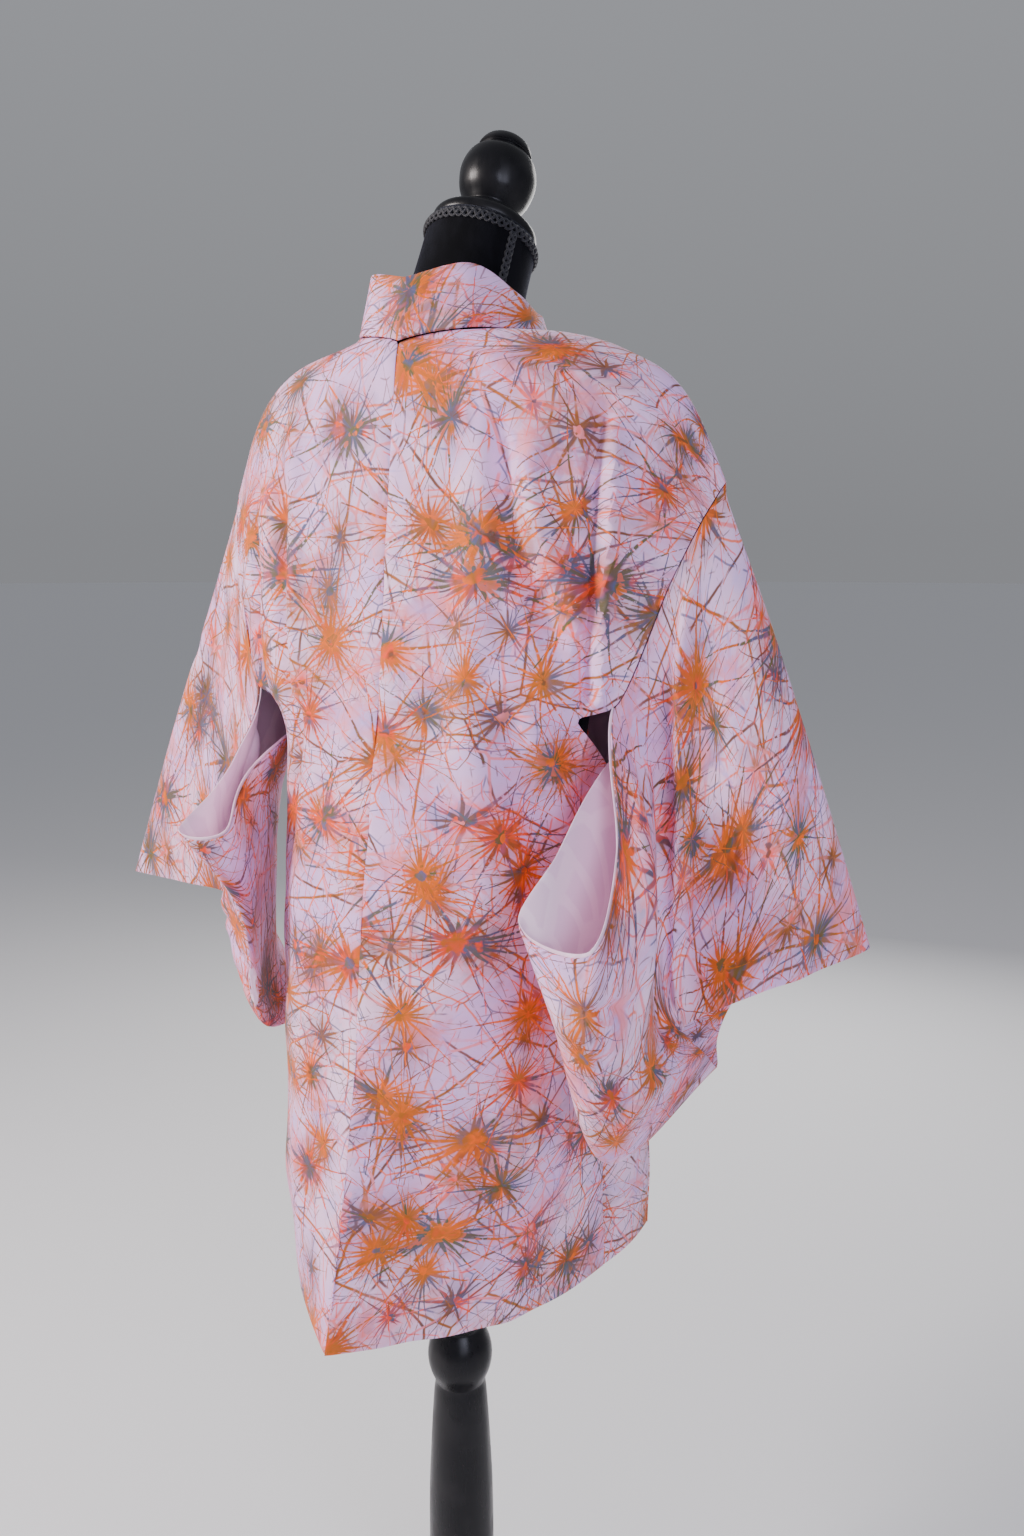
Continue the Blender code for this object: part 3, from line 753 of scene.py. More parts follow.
@dataclass
class Sheet:
    """A grid of cloth points with its flat coordinates, made a closed thin shell.

    The grid runs [row][column]; flat holds each point's place on the flat cloth in metres.
    """

    name: str
    points: Points
    shift: tuple[float, float] = (0.0, 0.0)
    wall: float = 0.0012
    closed: bool = False
    outside: float = 1.0
    level_column: int = 0
    inset: Points | None = None
    even: bool = False
    flat: Points = field(init=False)

    def __post_init__(self) -> None:
        """Measure the flat coordinates of the unmoved grid, its columns in line at level_column."""
        across = run_lengths(self.points, 1)
        across = across - across[:, [self.level_column]]
        if self.closed:
            across = 0.3 * across + 0.7 * across.mean(axis=0)
        if self.inset is not None:
            across = across + self.inset[:, None]
        along = run_lengths(self.points, 0)
        if self.even:
            along = np.broadcast_to(along.mean(axis=1, keepdims=True), along.shape)
        self.flat = np.stack([across, along], 2)

    def crease(self, creases: Sequence[Crease], rows: Points, columns: Points) -> None:
        """Move the points out or in along soft ridges and troughs.

        Args:
            creases: the ridges and troughs, their paths in the same units as rows and columns.
            rows: the place of each grid row.
            columns: the place of each grid column.
        """
        lift = np.zeros(self.points.shape[:2])
        for crease in creases:
            lift += self._lift(crease, rows, columns)
        self.points = self.points + outward(self.points, self.closed) * (self.outside * lift)[:, :, None]

    def _lift(self, crease: Crease, rows: Points, columns: Points) -> Points:
        """Return how far one crease moves each point."""
        path = np.array(crease.path, float)
        fine = smooth_curve(path, np.linspace(0, len(path) - 1, 12 * len(path)))
        row = np.interp(fine[:, 0], rows, np.arange(len(rows)))
        column = np.interp(fine[:, 1], columns, np.arange(len(columns)))
        line = np.stack([self._sample(row, column, k) for k in range(3)], 1)
        best = np.full(self.points.shape[:2], np.inf)
        where = np.zeros(self.points.shape[:2])
        steps = len(line) - 1
        for k in range(steps):
            edge = line[k + 1] - line[k]
            away = self.points - line[k]
            t = np.clip(away @ edge / max(edge @ edge, 1e-12), 0.0, 1.0)
            gap = np.linalg.norm(away - t[:, :, None] * edge, axis=2)
            near = gap < best
            best[near] = gap[near]
            where[near] = ((k + t) / steps)[near]
        start, end = crease.fade
        strength = np.ones_like(where)
        if start > 0:
            strength *= eased_step(where, 0.0, start)
        if end > 0:
            strength *= eased_step(1.0 - where, 0.0, end)
        return crease.height * strength * np.exp(-((best / crease.width) ** 2))

    def _sample(self, row: Points, column: Points, k: int) -> Points:
        """Return coordinate k of the grid at fractional rows and columns."""
        low_row = np.clip(np.floor(row).astype(int), 0, self.points.shape[0] - 2)
        low_column = np.clip(np.floor(column).astype(int), 0, self.points.shape[1] - 2)
        down, across = row - low_row, column - low_column
        values = self.points[:, :, k]
        upper = values[low_row, low_column] * (1 - across) + values[low_row, low_column + 1] * across
        lower = values[low_row + 1, low_column] * (1 - across) + values[low_row + 1, low_column + 1] * across
        return upper * (1 - down) + lower * down

    def ripple(self, height: float, length: float, seed: int) -> None:
        """Give the cloth a faint unevenness made of a few crossed waves.

        Args:
            height: the greatest move, in metres.
            length: the usual length of a wave.
            seed: which set of waves to use.
        """
        chance = np.random.default_rng(seed)
        lift = np.zeros(self.points.shape[:2])
        waves = 9
        for _ in range(waves):
            turn = chance.uniform(0, math.tau)
            pitch = math.tau / (length * chance.uniform(0.6, 1.8))
            place = self.flat[:, :, 0] * math.cos(turn) + self.flat[:, :, 1] * math.sin(turn)
            lift += np.sin(place * pitch + chance.uniform(0, math.tau))
        self.points = self.points + outward(self.points, self.closed) * (lift * height / waves)[:, :, None]

    def tuck(self, column: int, reach: float, depth: float) -> None:
        """Press a side edge in, as along a seam.

        Args:
            column: 0 for the first column, -1 for the last.
            reach: how far from the edge the cloth bends.
            depth: how far the edge goes in.
        """
        far = np.abs(self.flat[:, :, 0] - self.flat[:, [column], 0])
        lift = -depth * np.exp(-((far / reach) ** 2))
        self.points = self.points + outward(self.points, self.closed) * (self.outside * lift)[:, :, None]

    def build(
        self, finishes: Sequence[bpy.types.Material], slot: Slot, nodes: Sequence[str]
    ) -> bpy.types.Object:
        """Make the shell's object and ride it on the frame.

        Args:
            finishes: the outside's material and, if there are two, the inside's.
            slot: not used.
            nodes: the frame's nodes that the piece stands for.

        Returns:
            The finished object.
        """
        rows, columns = self.points.shape[:2]
        work = bmesh.new()
        bmesh.ops.create_grid(work, x_segments=columns - 1, y_segments=rows - 1, size=0.5, calc_uvs=False)
        layer = work.loops.layers.uv.new("Flat")
        places: dict[int, tuple[int, int]] = {}
        for vert in work.verts:
            place = round((vert.co.y + 0.5) * (rows - 1)), round((vert.co.x + 0.5) * (columns - 1))
            places[vert.index] = place
            vert.co = self.points[place]
        for face in work.faces:
            face.smooth = True
            for loop in face.loops:
                loop[layer].uv = self.flat[places[loop.vert.index]] + np.array(self.shift)
        if self.closed:
            bmesh.ops.remove_doubles(work, verts=work.verts, dist=1e-6)
        if self.outside > 0:
            bmesh.ops.reverse_faces(work, faces=work.faces)
        thing = finished_object(self.name, work, finishes, nodes)
        shell = thing.modifiers.new("Shell", "SOLIDIFY")
        shell.thickness = self.wall
        shell.offset = 0.0
        shell.material_offset = len(finishes) - 1
        rim = thing.modifiers.new("Rim", "BEVEL")
        rim.width = self.wall * 0.4
        rim.segments = 2
        rim.limit_method = "ANGLE"
        rim.angle_limit = math.radians(60.0)
        return thing


def finished_object(
    name: str,
    work: bmesh.types.BMesh,
    finishes: Sequence[bpy.types.Material],
    nodes: Sequence[str] = (),
) -> bpy.types.Object:
    """Turn a bmesh into an object that rides on the frame.

    Args:
        name: the piece's name.
        work: the finished bmesh, which is freed.
        finishes: its materials.
        nodes: the frame's nodes that the piece stands for.

    Returns:
        The object.
    """
    mesh = bpy.data.meshes.new(name)
    work.to_mesh(mesh)
    work.free()
    for finish in finishes:
        mesh.materials.append(finish)
    thing = bpy.data.objects.new(name, mesh)
    bpy.context.scene.collection.objects.link(thing)
    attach(thing, "root")
    if nodes:
        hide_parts(*nodes)
    log.info("%s: %d faces", name, len(mesh.polygons))
    return thing


def wrapped_mesh(points: Points, close_rows: bool = False, flat: Points | None = None) -> bmesh.types.BMesh:
    """Make a surface that closes round on itself from rings of points.

    Args:
        points: [ring][place], each ring's last point followed by its first.
        close_rows: whether the last ring is followed by the first one.
        flat: each point's flat coordinates, with one more ring and place for the closing ones.

    Returns:
        The surface, with its open ends capped and its faces facing out.
    """
    rings, places = points.shape[:2]
    work = bmesh.new()
    tall = rings if close_rows else rings - 1
    bmesh.ops.create_grid(work, x_segments=places, y_segments=tall, size=0.5)
    layer = work.loops.layers.uv.new("Flat")
    grid: dict[int, tuple[int, int]] = {}
    for vert in work.verts:
        row, column = round((vert.co.y + 0.5) * tall), round((vert.co.x + 0.5) * places)
        grid[vert.index] = (row, column)
        vert.co = points[row % rings, column % places]
    for face in work.faces:
        face.smooth = True
        for loop in face.loops:
            place = grid[loop.vert.index]
            loop[layer].uv = flat[place] if flat is not None else (place[1] / places, place[0] / tall)
    bmesh.ops.remove_doubles(work, verts=work.verts, dist=1e-6)
    if not close_rows:
        bmesh.ops.holes_fill(work, edges=[edge for edge in work.edges if edge.is_boundary], sides=0)
    bmesh.ops.recalc_face_normals(work, faces=work.faces)
    return work


class Graph:
    """A material's nodes, made and linked in few words."""

    def __init__(self, name: str) -> None:
        """Start an empty node tree with an output and a Principled shader."""
        self.material = bpy.data.materials.new(name)
        self.material.use_nodes = True
        self.tree = self.material.node_tree
        self.shader = self.tree.nodes["Principled BSDF"]

    def add(self, kind: str, inputs: dict | None = None, **settings: object) -> bpy.types.Node:
        """Make a node.

        Args:
            kind: the node's type after "ShaderNode".
            inputs: values or sockets for its inputs, by name or number.
            settings: the node's own properties.

        Returns:
            The node.
        """
        node = self.tree.nodes.new("ShaderNode" + kind)
        for key, value in settings.items():
            setattr(node, key, value)
        for key, value in (inputs or {}).items():
            self.feed(node.inputs[key], value)
        return node

    def feed(self, socket: bpy.types.NodeSocket, value: object) -> None:
        """Link a socket to an input, or set the input's value."""
        if isinstance(value, bpy.types.NodeSocket):
            self.tree.links.new(value, socket)
        else:
            socket.default_value = value

    def math(self, operation: str, *values: object) -> bpy.types.NodeSocket:
        """Return the result of a Math node on one to three values."""
        return self.add("Math", dict(enumerate(values)), operation=operation).outputs[0]

    def vector(self, operation: str, *values: object) -> bpy.types.NodeSocket:
        """Return the vector result of a Vector Math node."""
        return self.add("VectorMath", dict(enumerate(values)), operation=operation).outputs["Vector"]

    def length(self, value: bpy.types.NodeSocket) -> bpy.types.NodeSocket:
        """Return a vector's length."""
        return self.add("VectorMath", {0: value}, operation="LENGTH").outputs["Value"]

    def scaled(self, value: bpy.types.NodeSocket, share: float) -> bpy.types.NodeSocket:
        """Return a vector times a number."""
        return self.vector("MULTIPLY", value, (share, share, share))

    def split(self, value: bpy.types.NodeSocket) -> Sequence[bpy.types.NodeSocket]:
        """Return a vector's or a colour's three parts."""
        return self.add("SeparateXYZ", {0: value}).outputs

    def fade(self, value: object, low: object, high: object, top: float = 1.0) -> bpy.types.NodeSocket:
        """Return a smooth rise from 0 at low to top at high; high may be below low."""
        inputs = {"Value": value, "From Min": low, "From Max": high, "To Min": 0.0, "To Max": top}
        return self.add("MapRange", inputs, interpolation_type="SMOOTHSTEP").outputs["Result"]

    def mix(self, share: object, first: object, second: object, blend: str = "MIX") -> bpy.types.NodeSocket:
        """Return two colours mixed by a share."""
        node = self.add("Mix", data_type="RGBA", blend_type=blend)
        self.feed(node.inputs[0], share)
        self.feed(node.inputs[6], first)
        self.feed(node.inputs[7], second)
        return node.outputs[2]

    def noise(self, place: bpy.types.NodeSocket, scale: float, detail: float = 2.0) -> bpy.types.Node:
        """Return a Noise Texture node."""
        return self.add("TexNoise", {"Vector": place, "Scale": scale, "Detail": detail})

    def ramp(self, value: object, stops: Sequence[tuple[float, tuple]]) -> bpy.types.NodeSocket:
        """Return a colour blended between stops."""
        node = self.add("ValToRGB", {0: value})
        node.color_ramp.interpolation = "LINEAR"
        elements = node.color_ramp.elements
        while len(elements) < len(stops):
            elements.new(1.0)
        for element, (place, colour) in zip(elements, stops):
            element.position = place
            element.color = colour
        return node.outputs[0]

    def bump(
        self, height: object, strength: float, distance: float, under: object = None
    ) -> bpy.types.NodeSocket:
        """Return a bumped normal."""
        node = self.add("Bump", {"Height": height, "Strength": strength, "Distance": distance})
        if under is not None:
            self.feed(node.inputs["Normal"], under)
        return node.outputs[0]

    def surface(self, **values: object) -> bpy.types.Material:
        """Set the shader's inputs, named with _ for a space, and return the material."""
        for key, value in values.items():
            self.feed(self.shader.inputs[key.replace("_", " ")], value)
        return self.material


class Dye(Enum):
    """The print's colours."""

    ORANGE = (1.0, 0.150, 0.006, 1.0)
    VERMILION = (1.0, 0.070, 0.020, 1.0)
    OCHRE = (0.42, 0.125, 0.010, 1.0)
    BROWN = (0.170, 0.060, 0.022, 1.0)
    SLATE = (0.090, 0.115, 0.240, 1.0)
    OLIVE = (0.135, 0.115, 0.035, 1.0)
    BLUSH = (1.0, 0.28, 0.34, 1.0)
    LILAC = (0.82, 0.50, 0.88, 1.0)
    PALE = (0.95, 0.63, 0.87, 1.0)
    MIST = (0.58, 0.42, 0.88, 1.0)


@dataclass(frozen=True)
class StarLayer:
    """One layer of starbursts: how far apart, how many rays, their reach and half width, all in metres."""

    spacing: float
    rays: int
    reach: float
    half_width: float
    blot: float
    strength: float
    shift: tuple[float, float, float]
    dyes: tuple[tuple[float, Dye], ...]


@dataclass(frozen=True)
class Mood:
    """What varies over the printed cloth: breaks in fine lines, the dyes' tint, and ragged edges."""

    breaks: bpy.types.NodeSocket
    tint: bpy.types.NodeSocket
    ragged: bpy.types.NodeSocket


@dataclass(frozen=True)
class StarPrint:
    """Pale crepe silk printed with starbursts whose fine rays run into one another."""

    name: str = "Starburst crepe"
    warm: tuple[tuple[float, Dye], ...] = (
        (0.0, Dye.ORANGE),
        (0.30, Dye.OCHRE),
        (0.52, Dye.VERMILION),
        (0.62, Dye.BROWN),
        (0.80, Dye.SLATE),
        (0.92, Dye.OLIVE),
    )
    cool: tuple[tuple[float, Dye], ...] = (
        (0.0, Dye.SLATE),
        (0.30, Dye.BROWN),
        (0.55, Dye.OCHRE),
        (0.75, Dye.BLUSH),
        (0.88, Dye.VERMILION),
    )
    earth: tuple[tuple[float, Dye], ...] = (
        (0.0, Dye.OCHRE),
        (0.25, Dye.ORANGE),
        (0.45, Dye.BROWN),
        (0.60, Dye.OLIVE),
        (0.75, Dye.SLATE),
        (0.90, Dye.OCHRE),
    )
    soft: tuple[tuple[float, Dye], ...] = ((0.0, Dye.BLUSH), (0.5, Dye.MIST), (0.75, Dye.BLUSH))

    def layers(self) -> tuple[StarLayer, ...]:
        """Return the layers, the faintest first."""
        return (
            StarLayer(0.092, 13, 0.100, 0.0038, 0.014, 0.60, (3.1, 7.7, 0.0), self.soft),
            StarLayer(0.072, 15, 0.105, 0.0010, 0.003, 0.95, (9.3, 1.9, 0.0), self.cool),
            StarLayer(0.099, 23, 0.155, 0.0015, 0.005, 0.98, (5.7, 4.2, 0.0), self.earth),
            StarLayer(0.101, 25, 0.155, 0.0016, 0.006, 0.98, (1.4, 8.8, 0.0), self.warm),
        )

    def build(self) -> bpy.types.Material:
        """Return the printed silk."""
        graph = Graph(self.name)
        place = graph.add("UVMap", uv_map="Flat").outputs[0]
        bent = self._bent(graph, place)
        colour = self._ground(graph, place)
        colour = self._crackle(graph, place, bent, colour)
        mood = Mood(
            breaks=graph.fade(graph.noise(place, 260.0, 3.0).outputs[0], 0.34, 0.46),
            tint=graph.math("MULTIPLY", graph.noise(place, 38.0, 2.0).outputs[0], 1.7),
            ragged=graph.math("MULTIPLY_ADD", graph.noise(place, 75.0, 3.0).outputs[0], 0.034, -0.017),
        )
        for layer in self.layers():
            for feature in ("F2", "F1"):
                colour = self._stars(graph, bent, mood, layer, feature, colour)
        grain = graph.noise(place, 1500.0, 2.0).outputs[0]
        crepe = graph.noise(place, 520.0, 3.0).outputs[0]
        normal = graph.bump(grain, 0.25, 0.0002)
        normal = graph.bump(crepe, 0.30, 0.0005, normal)
        rough = graph.fade(crepe, 0.2, 0.8, 0.18)
        rough = graph.math("ADD", rough, 0.58)
        return graph.surface(
            Base_Color=colour,
            Roughness=rough,
            Normal=normal,
            Sheen_Weight=0.09,
            Sheen_Roughness=0.45,
            Specular_IOR_Level=0.22,
        )

    def _bent(self, graph: Graph, place: bpy.types.NodeSocket) -> bpy.types.NodeSocket:
        """Return the flat place shaken a little, so that lines run unevenly."""
        bent = place
        for scale, amount in ((14.0, 0.013), (60.0, 0.0022), (220.0, 0.0005)):
            shake = graph.vector("SUBTRACT", graph.noise(place, scale).outputs[1], (0.5, 0.5, 0.5))
            bent = graph.vector("ADD", bent, graph.scaled(shake, amount))
        return bent

    def _ground(self, graph: Graph, place: bpy.types.NodeSocket) -> bpy.types.NodeSocket:
        """Return the unprinted silk's colour, lilac and pale pink in soft patches."""
        patch = graph.fade(graph.noise(place, 9.0, 3.0).outputs[0], 0.36, 0.64)
        colour = graph.mix(patch, Dye.LILAC.value, Dye.PALE.value)
        cloud = graph.fade(graph.noise(place, 27.0, 3.0).outputs[0], 0.50, 0.74, 0.45)
        return graph.mix(cloud, colour, Dye.MIST.value)

    def _crackle(
        self,
        graph: Graph,
        place: bpy.types.NodeSocket,
        bent: bpy.types.NodeSocket,
        colour: bpy.types.NodeSocket,
    ) -> bpy.types.NodeSocket:
        """Return the colour with broken hairlines drawn over it."""
        for scale, width, low, dye, share in (
            (8.0, 0.0095, 0.36, Dye.OCHRE, 0.98),
            (11.0, 0.0120, 0.40, Dye.BROWN, 0.97),
            (15.0, 0.0170, 0.42, Dye.BLUSH, 0.95),
            (19.0, 0.0150, 0.45, Dye.ORANGE, 0.85),
            (26.0, 0.0180, 0.48, Dye.SLATE, 0.75),
            (37.0, 0.0210, 0.50, Dye.VERMILION, 0.70),
            (52.0, 0.0260, 0.52, Dye.BROWN, 0.60),
        ):
            cells = graph.add(
                "TexVoronoi",
                {"Vector": graph.vector("ADD", bent, (scale, 0.0, 0.0)), "Scale": scale},
                voronoi_dimensions="2D",
                feature="DISTANCE_TO_EDGE",
            )
            line = graph.fade(cells.outputs["Distance"], width * 1.5, width * 0.5, share)
            gaps = graph.fade(graph.noise(place, 14.0 + scale, 2.0).outputs[0], low - 0.05, low + 0.05)
            colour = graph.mix(graph.math("MULTIPLY", line, gaps), colour, dye.value)
        return colour

    def _stars(
        self,
        graph: Graph,
        place: bpy.types.NodeSocket,
        mood: Mood,
        layer: StarLayer,
        feature: str,
        colour: bpy.types.NodeSocket,
    ) -> bpy.types.NodeSocket:
        """Return the colour with one layer's stars over it.

        Args:
            graph: the material's nodes.
            place: the shaken flat place.
            mood: what varies over the cloth: breaks in the lines, tint and raggedness.
            layer: the stars.
            feature: "F1" for the nearest star at each place, "F2" for the next.
            colour: what lies under them.

        Returns:
            The new colour.
        """
        cells = graph.vector("ADD", graph.scaled(place, 1.0 / layer.spacing), layer.shift)
        star = graph.add(
            "TexVoronoi",
            {"Vector": cells, "Scale": 1.0, "Randomness": 0.9},
            voronoi_dimensions="2D",
            feature=feature,
        )
        chance = graph.split(star.outputs["Color"])
        away = graph.scaled(graph.vector("SUBTRACT", cells, star.outputs["Position"]), layer.spacing)
        narrow = graph.math("MULTIPLY_ADD", chance[0], 1.1, 0.50)
        x, y, _ = graph.split(away)
        x = graph.math("MULTIPLY", x, narrow)
        far = graph.length(graph.add("CombineXYZ", {0: x, 1: y}).outputs[0])
        turns = graph.math("MULTIPLY", graph.math("ARCTAN2", y, x), layer.rays / math.tau)
        turns = graph.math("ADD", turns, graph.math("MULTIPLY", chance[0], 7.0))
        number = graph.math("FLOORED_MODULO", graph.math("FLOOR", turns), float(layer.rays))
        part = graph.math("SUBTRACT", graph.math("FRACT", turns), 0.5)
        seed = graph.add("CombineXYZ", {0: number, 1: chance[0], 2: chance[1]}).outputs[0]
        roll = graph.add("TexWhiteNoise", {"Vector": seed}, noise_dimensions="3D")
        luck = graph.split(roll.outputs["Color"])
        aim = graph.math("MULTIPLY", graph.math("SUBTRACT", luck[1], 0.5), 0.75)
        gap = graph.math("ABSOLUTE", graph.math("SUBTRACT", part, aim))
        gap = graph.math("MULTIPLY", graph.math("MULTIPLY", gap, far), math.tau / layer.rays)
        reach = graph.math("POWER", luck[0], 2.0)
        reach = graph.math("MULTIPLY_ADD", reach, layer.reach * 0.86, layer.reach * 0.14)
        taper = graph.math("SUBTRACT", 1.0, graph.math("DIVIDE", far, reach))
        thick = graph.math("MULTIPLY_ADD", luck[2], 1.1, 0.35)
        swell = graph.math("EXPONENT", graph.math("MULTIPLY", far, -70.0))
        swell = graph.math("MULTIPLY_ADD", swell, 1.9, 0.30)
        half = graph.math("MULTIPLY", graph.math("MULTIPLY", swell, thick), layer.half_width)
        half = graph.math("MULTIPLY_ADD", graph.fade(taper, 0.0, 0.9), half, 0.00014)
        ray = graph.fade(gap, graph.math("MULTIPLY", half, 1.4), graph.math("MULTIPLY", half, 0.6))
        ray = graph.math("MULTIPLY", ray, graph.fade(taper, 0.0, 0.10))
        ray = graph.math("MULTIPLY", ray, graph.math("MAXIMUM", mood.breaks, graph.fade(far, 0.03, 0.012)))
        pick = graph.math("MULTIPLY_ADD", luck[2], 0.30, graph.math("ADD", chance[1], mood.tint))
        dye = self._dye(graph, pick, layer)
        colour = graph.mix(graph.math("MULTIPLY", ray, layer.strength), colour, dye)
        ragged = graph.math("ADD", far, mood.ragged)
        halo = graph.fade(ragged, 0.040, 0.0, 0.70)
        glow = self._dye(graph, graph.math("ADD", chance[1], mood.tint), layer)
        colour = graph.mix(graph.math("MULTIPLY", halo, layer.strength * 0.7), colour, glow)
        size = graph.math("MULTIPLY_ADD", chance[2], layer.blot, layer.blot * 0.3)
        spot = graph.fade(ragged, size, graph.math("MULTIPLY", size, 0.5), 0.92)
        ink = self._dye(graph, graph.math("MULTIPLY_ADD", chance[2], 3.7, mood.tint), layer)
        return graph.mix(graph.math("MULTIPLY", spot, layer.strength), colour, ink)

    def _dye(self, graph: Graph, pick: bpy.types.NodeSocket, layer: StarLayer) -> bpy.types.NodeSocket:
        """Return one of a layer's dyes, picked by a number of any size."""
        stops = [(at, dye.value) for at, dye in layer.dyes]
        return graph.ramp(graph.math("FRACT", pick), stops)


@dataclass(frozen=True)
class LiningSilk:
    """Pale lining silk with a faint woven leaf figure."""

    name: str = "Figured lining silk"
    ground: tuple[float, ...] = (0.97, 0.70, 0.86, 1.0)
    leaf: tuple[float, ...] = (0.86, 0.57, 0.76, 1.0)

    def build(self) -> bpy.types.Material:
        """Return the lining silk."""
        graph = Graph(self.name)
        place = graph.add("UVMap", uv_map="Flat").outputs[0]
        shake = graph.vector("SUBTRACT", graph.noise(place, 20.0).outputs[1], (0.5, 0.5, 0.5))
        bent = graph.vector("ADD", place, graph.scaled(shake, 0.02))
        squeezed = graph.vector("MULTIPLY", bent, (1.0, 0.45, 1.0))
        leaves = graph.add(
            "TexVoronoi",
            {"Vector": squeezed, "Scale": 34.0},
            voronoi_dimensions="2D",
            feature="DISTANCE_TO_EDGE",
        )
        figure = graph.fade(leaves.outputs["Distance"], 0.10, 0.17)
        weave = graph.noise(place, 1800.0, 1.0).outputs[0]
        colour = graph.mix(graph.math("MULTIPLY", figure, 0.7), self.ground, self.leaf)
        rough = graph.math("MULTIPLY_ADD", figure, 0.14, 0.36)
        normal = graph.bump(weave, 0.12, 0.0002, graph.bump(figure, 0.10, 0.0003))
        return graph.surface(
            Base_Color=colour,
            Roughness=rough,
            Normal=normal,
            Sheen_Weight=0.2,
            Sheen_Roughness=0.3,
            Anisotropic=0.3,
        )


@dataclass(frozen=True)
class Velvet:
    """Black velvet, dark face on and soft grey at a glance."""

    name: str = "Black velvet"
    low: tuple[float, ...] = (0.0022, 0.0022, 0.0030, 1.0)
    high: tuple[float, ...] = (0.0060, 0.0060, 0.0080, 1.0)

    def build(self) -> bpy.types.Material:
        """Return the velvet."""
        graph = Graph(self.name)
        place = graph.add("TexCoord").outputs["Object"]
        stroked = graph.vector("MULTIPLY", place, (1.0, 1.0, 0.35))
        brushed = graph.noise(stroked, 45.0, 3.0).outputs[0]
        pile = graph.noise(place, 1400.0, 2.0).outputs[0]
        colour = graph.mix(graph.fade(brushed, 0.35, 0.65), self.low, self.high)
        return graph.surface(
            Base_Color=colour,
            Roughness=0.95,
            Specular_IOR_Level=0.1,
            Sheen_Weight=0.16,
            Sheen_Roughness=0.35,
            Sheen_Tint=(0.55, 0.58, 0.75, 1.0),
            Normal=graph.bump(pile, 0.5, 0.0006, graph.bump(brushed, 0.2, 0.002)),
        )


@dataclass(frozen=True)
class Braid:
    """Black twisted thread."""

    name: str = "Black braid"
    thread: tuple[float, ...] = (0.006, 0.006, 0.009, 1.0)
    shine: tuple[float, ...] = (0.016, 0.016, 0.024, 1.0)

    def build(self) -> bpy.types.Material:
        """Return the thread."""
        graph = Graph(self.name)
        place = graph.add("UVMap", uv_map="Flat").outputs[0]
        turned = graph.add("Mapping", {"Vector": place, "Rotation": (0.0, 0.0, 0.7)}).outputs[0]
        ply = graph.add("TexWave", {"Vector": turned, "Scale": 420.0, "Distortion": 0.6}).outputs[1]
        colour = graph.mix(ply, self.thread, self.shine)
        return graph.surface(
            Base_Color=colour,
            Roughness=0.55,
            Sheen_Weight=0.1,
            Normal=graph.bump(ply, 0.6, 0.0004),
        )


@dataclass(frozen=True)
class BlackWood:
    """Turned wood under satin black lacquer."""

    name: str = "Black lacquered wood"
    dark: tuple[float, ...] = (0.0045, 0.0045, 0.0060, 1.0)
    worn: tuple[float, ...] = (0.0100, 0.0095, 0.0110, 1.0)

    def build(self) -> bpy.types.Material:
        """Return the lacquered wood."""
        graph = Graph(self.name)
        place = graph.add("TexCoord").outputs["Object"]
        drawn = graph.vector("MULTIPLY", place, (1.0, 1.0, 0.12))
        grain = graph.noise(drawn, 160.0, 4.0).outputs[0]
        dust = graph.noise(place, 30.0, 3.0).outputs[0]
        colour = graph.mix(graph.fade(dust, 0.4, 0.7), self.dark, self.worn)
        rough = graph.math("ADD", graph.fade(grain, 0.3, 0.7, 0.10), 0.24)
        rough = graph.math("ADD", rough, graph.fade(dust, 0.45, 0.75, 0.10))
        return graph.surface(
            Base_Color=colour,
            Roughness=rough,
            Specular_IOR_Level=0.24,
            Normal=graph.bump(grain, 0.05, 0.0004),
        )


@dataclass(frozen=True)
class Plaster:
    """The pale studio floor."""

    name: str = "Pale studio floor"
    colour: tuple[float, ...] = (0.78, 0.78, 0.80, 1.0)

    def build(self) -> bpy.types.Material:
        """Return the floor's finish."""
        graph = Graph(self.name)
        return graph.surface(Base_Color=self.colour, Roughness=0.9, Specular_IOR_Level=0.2)


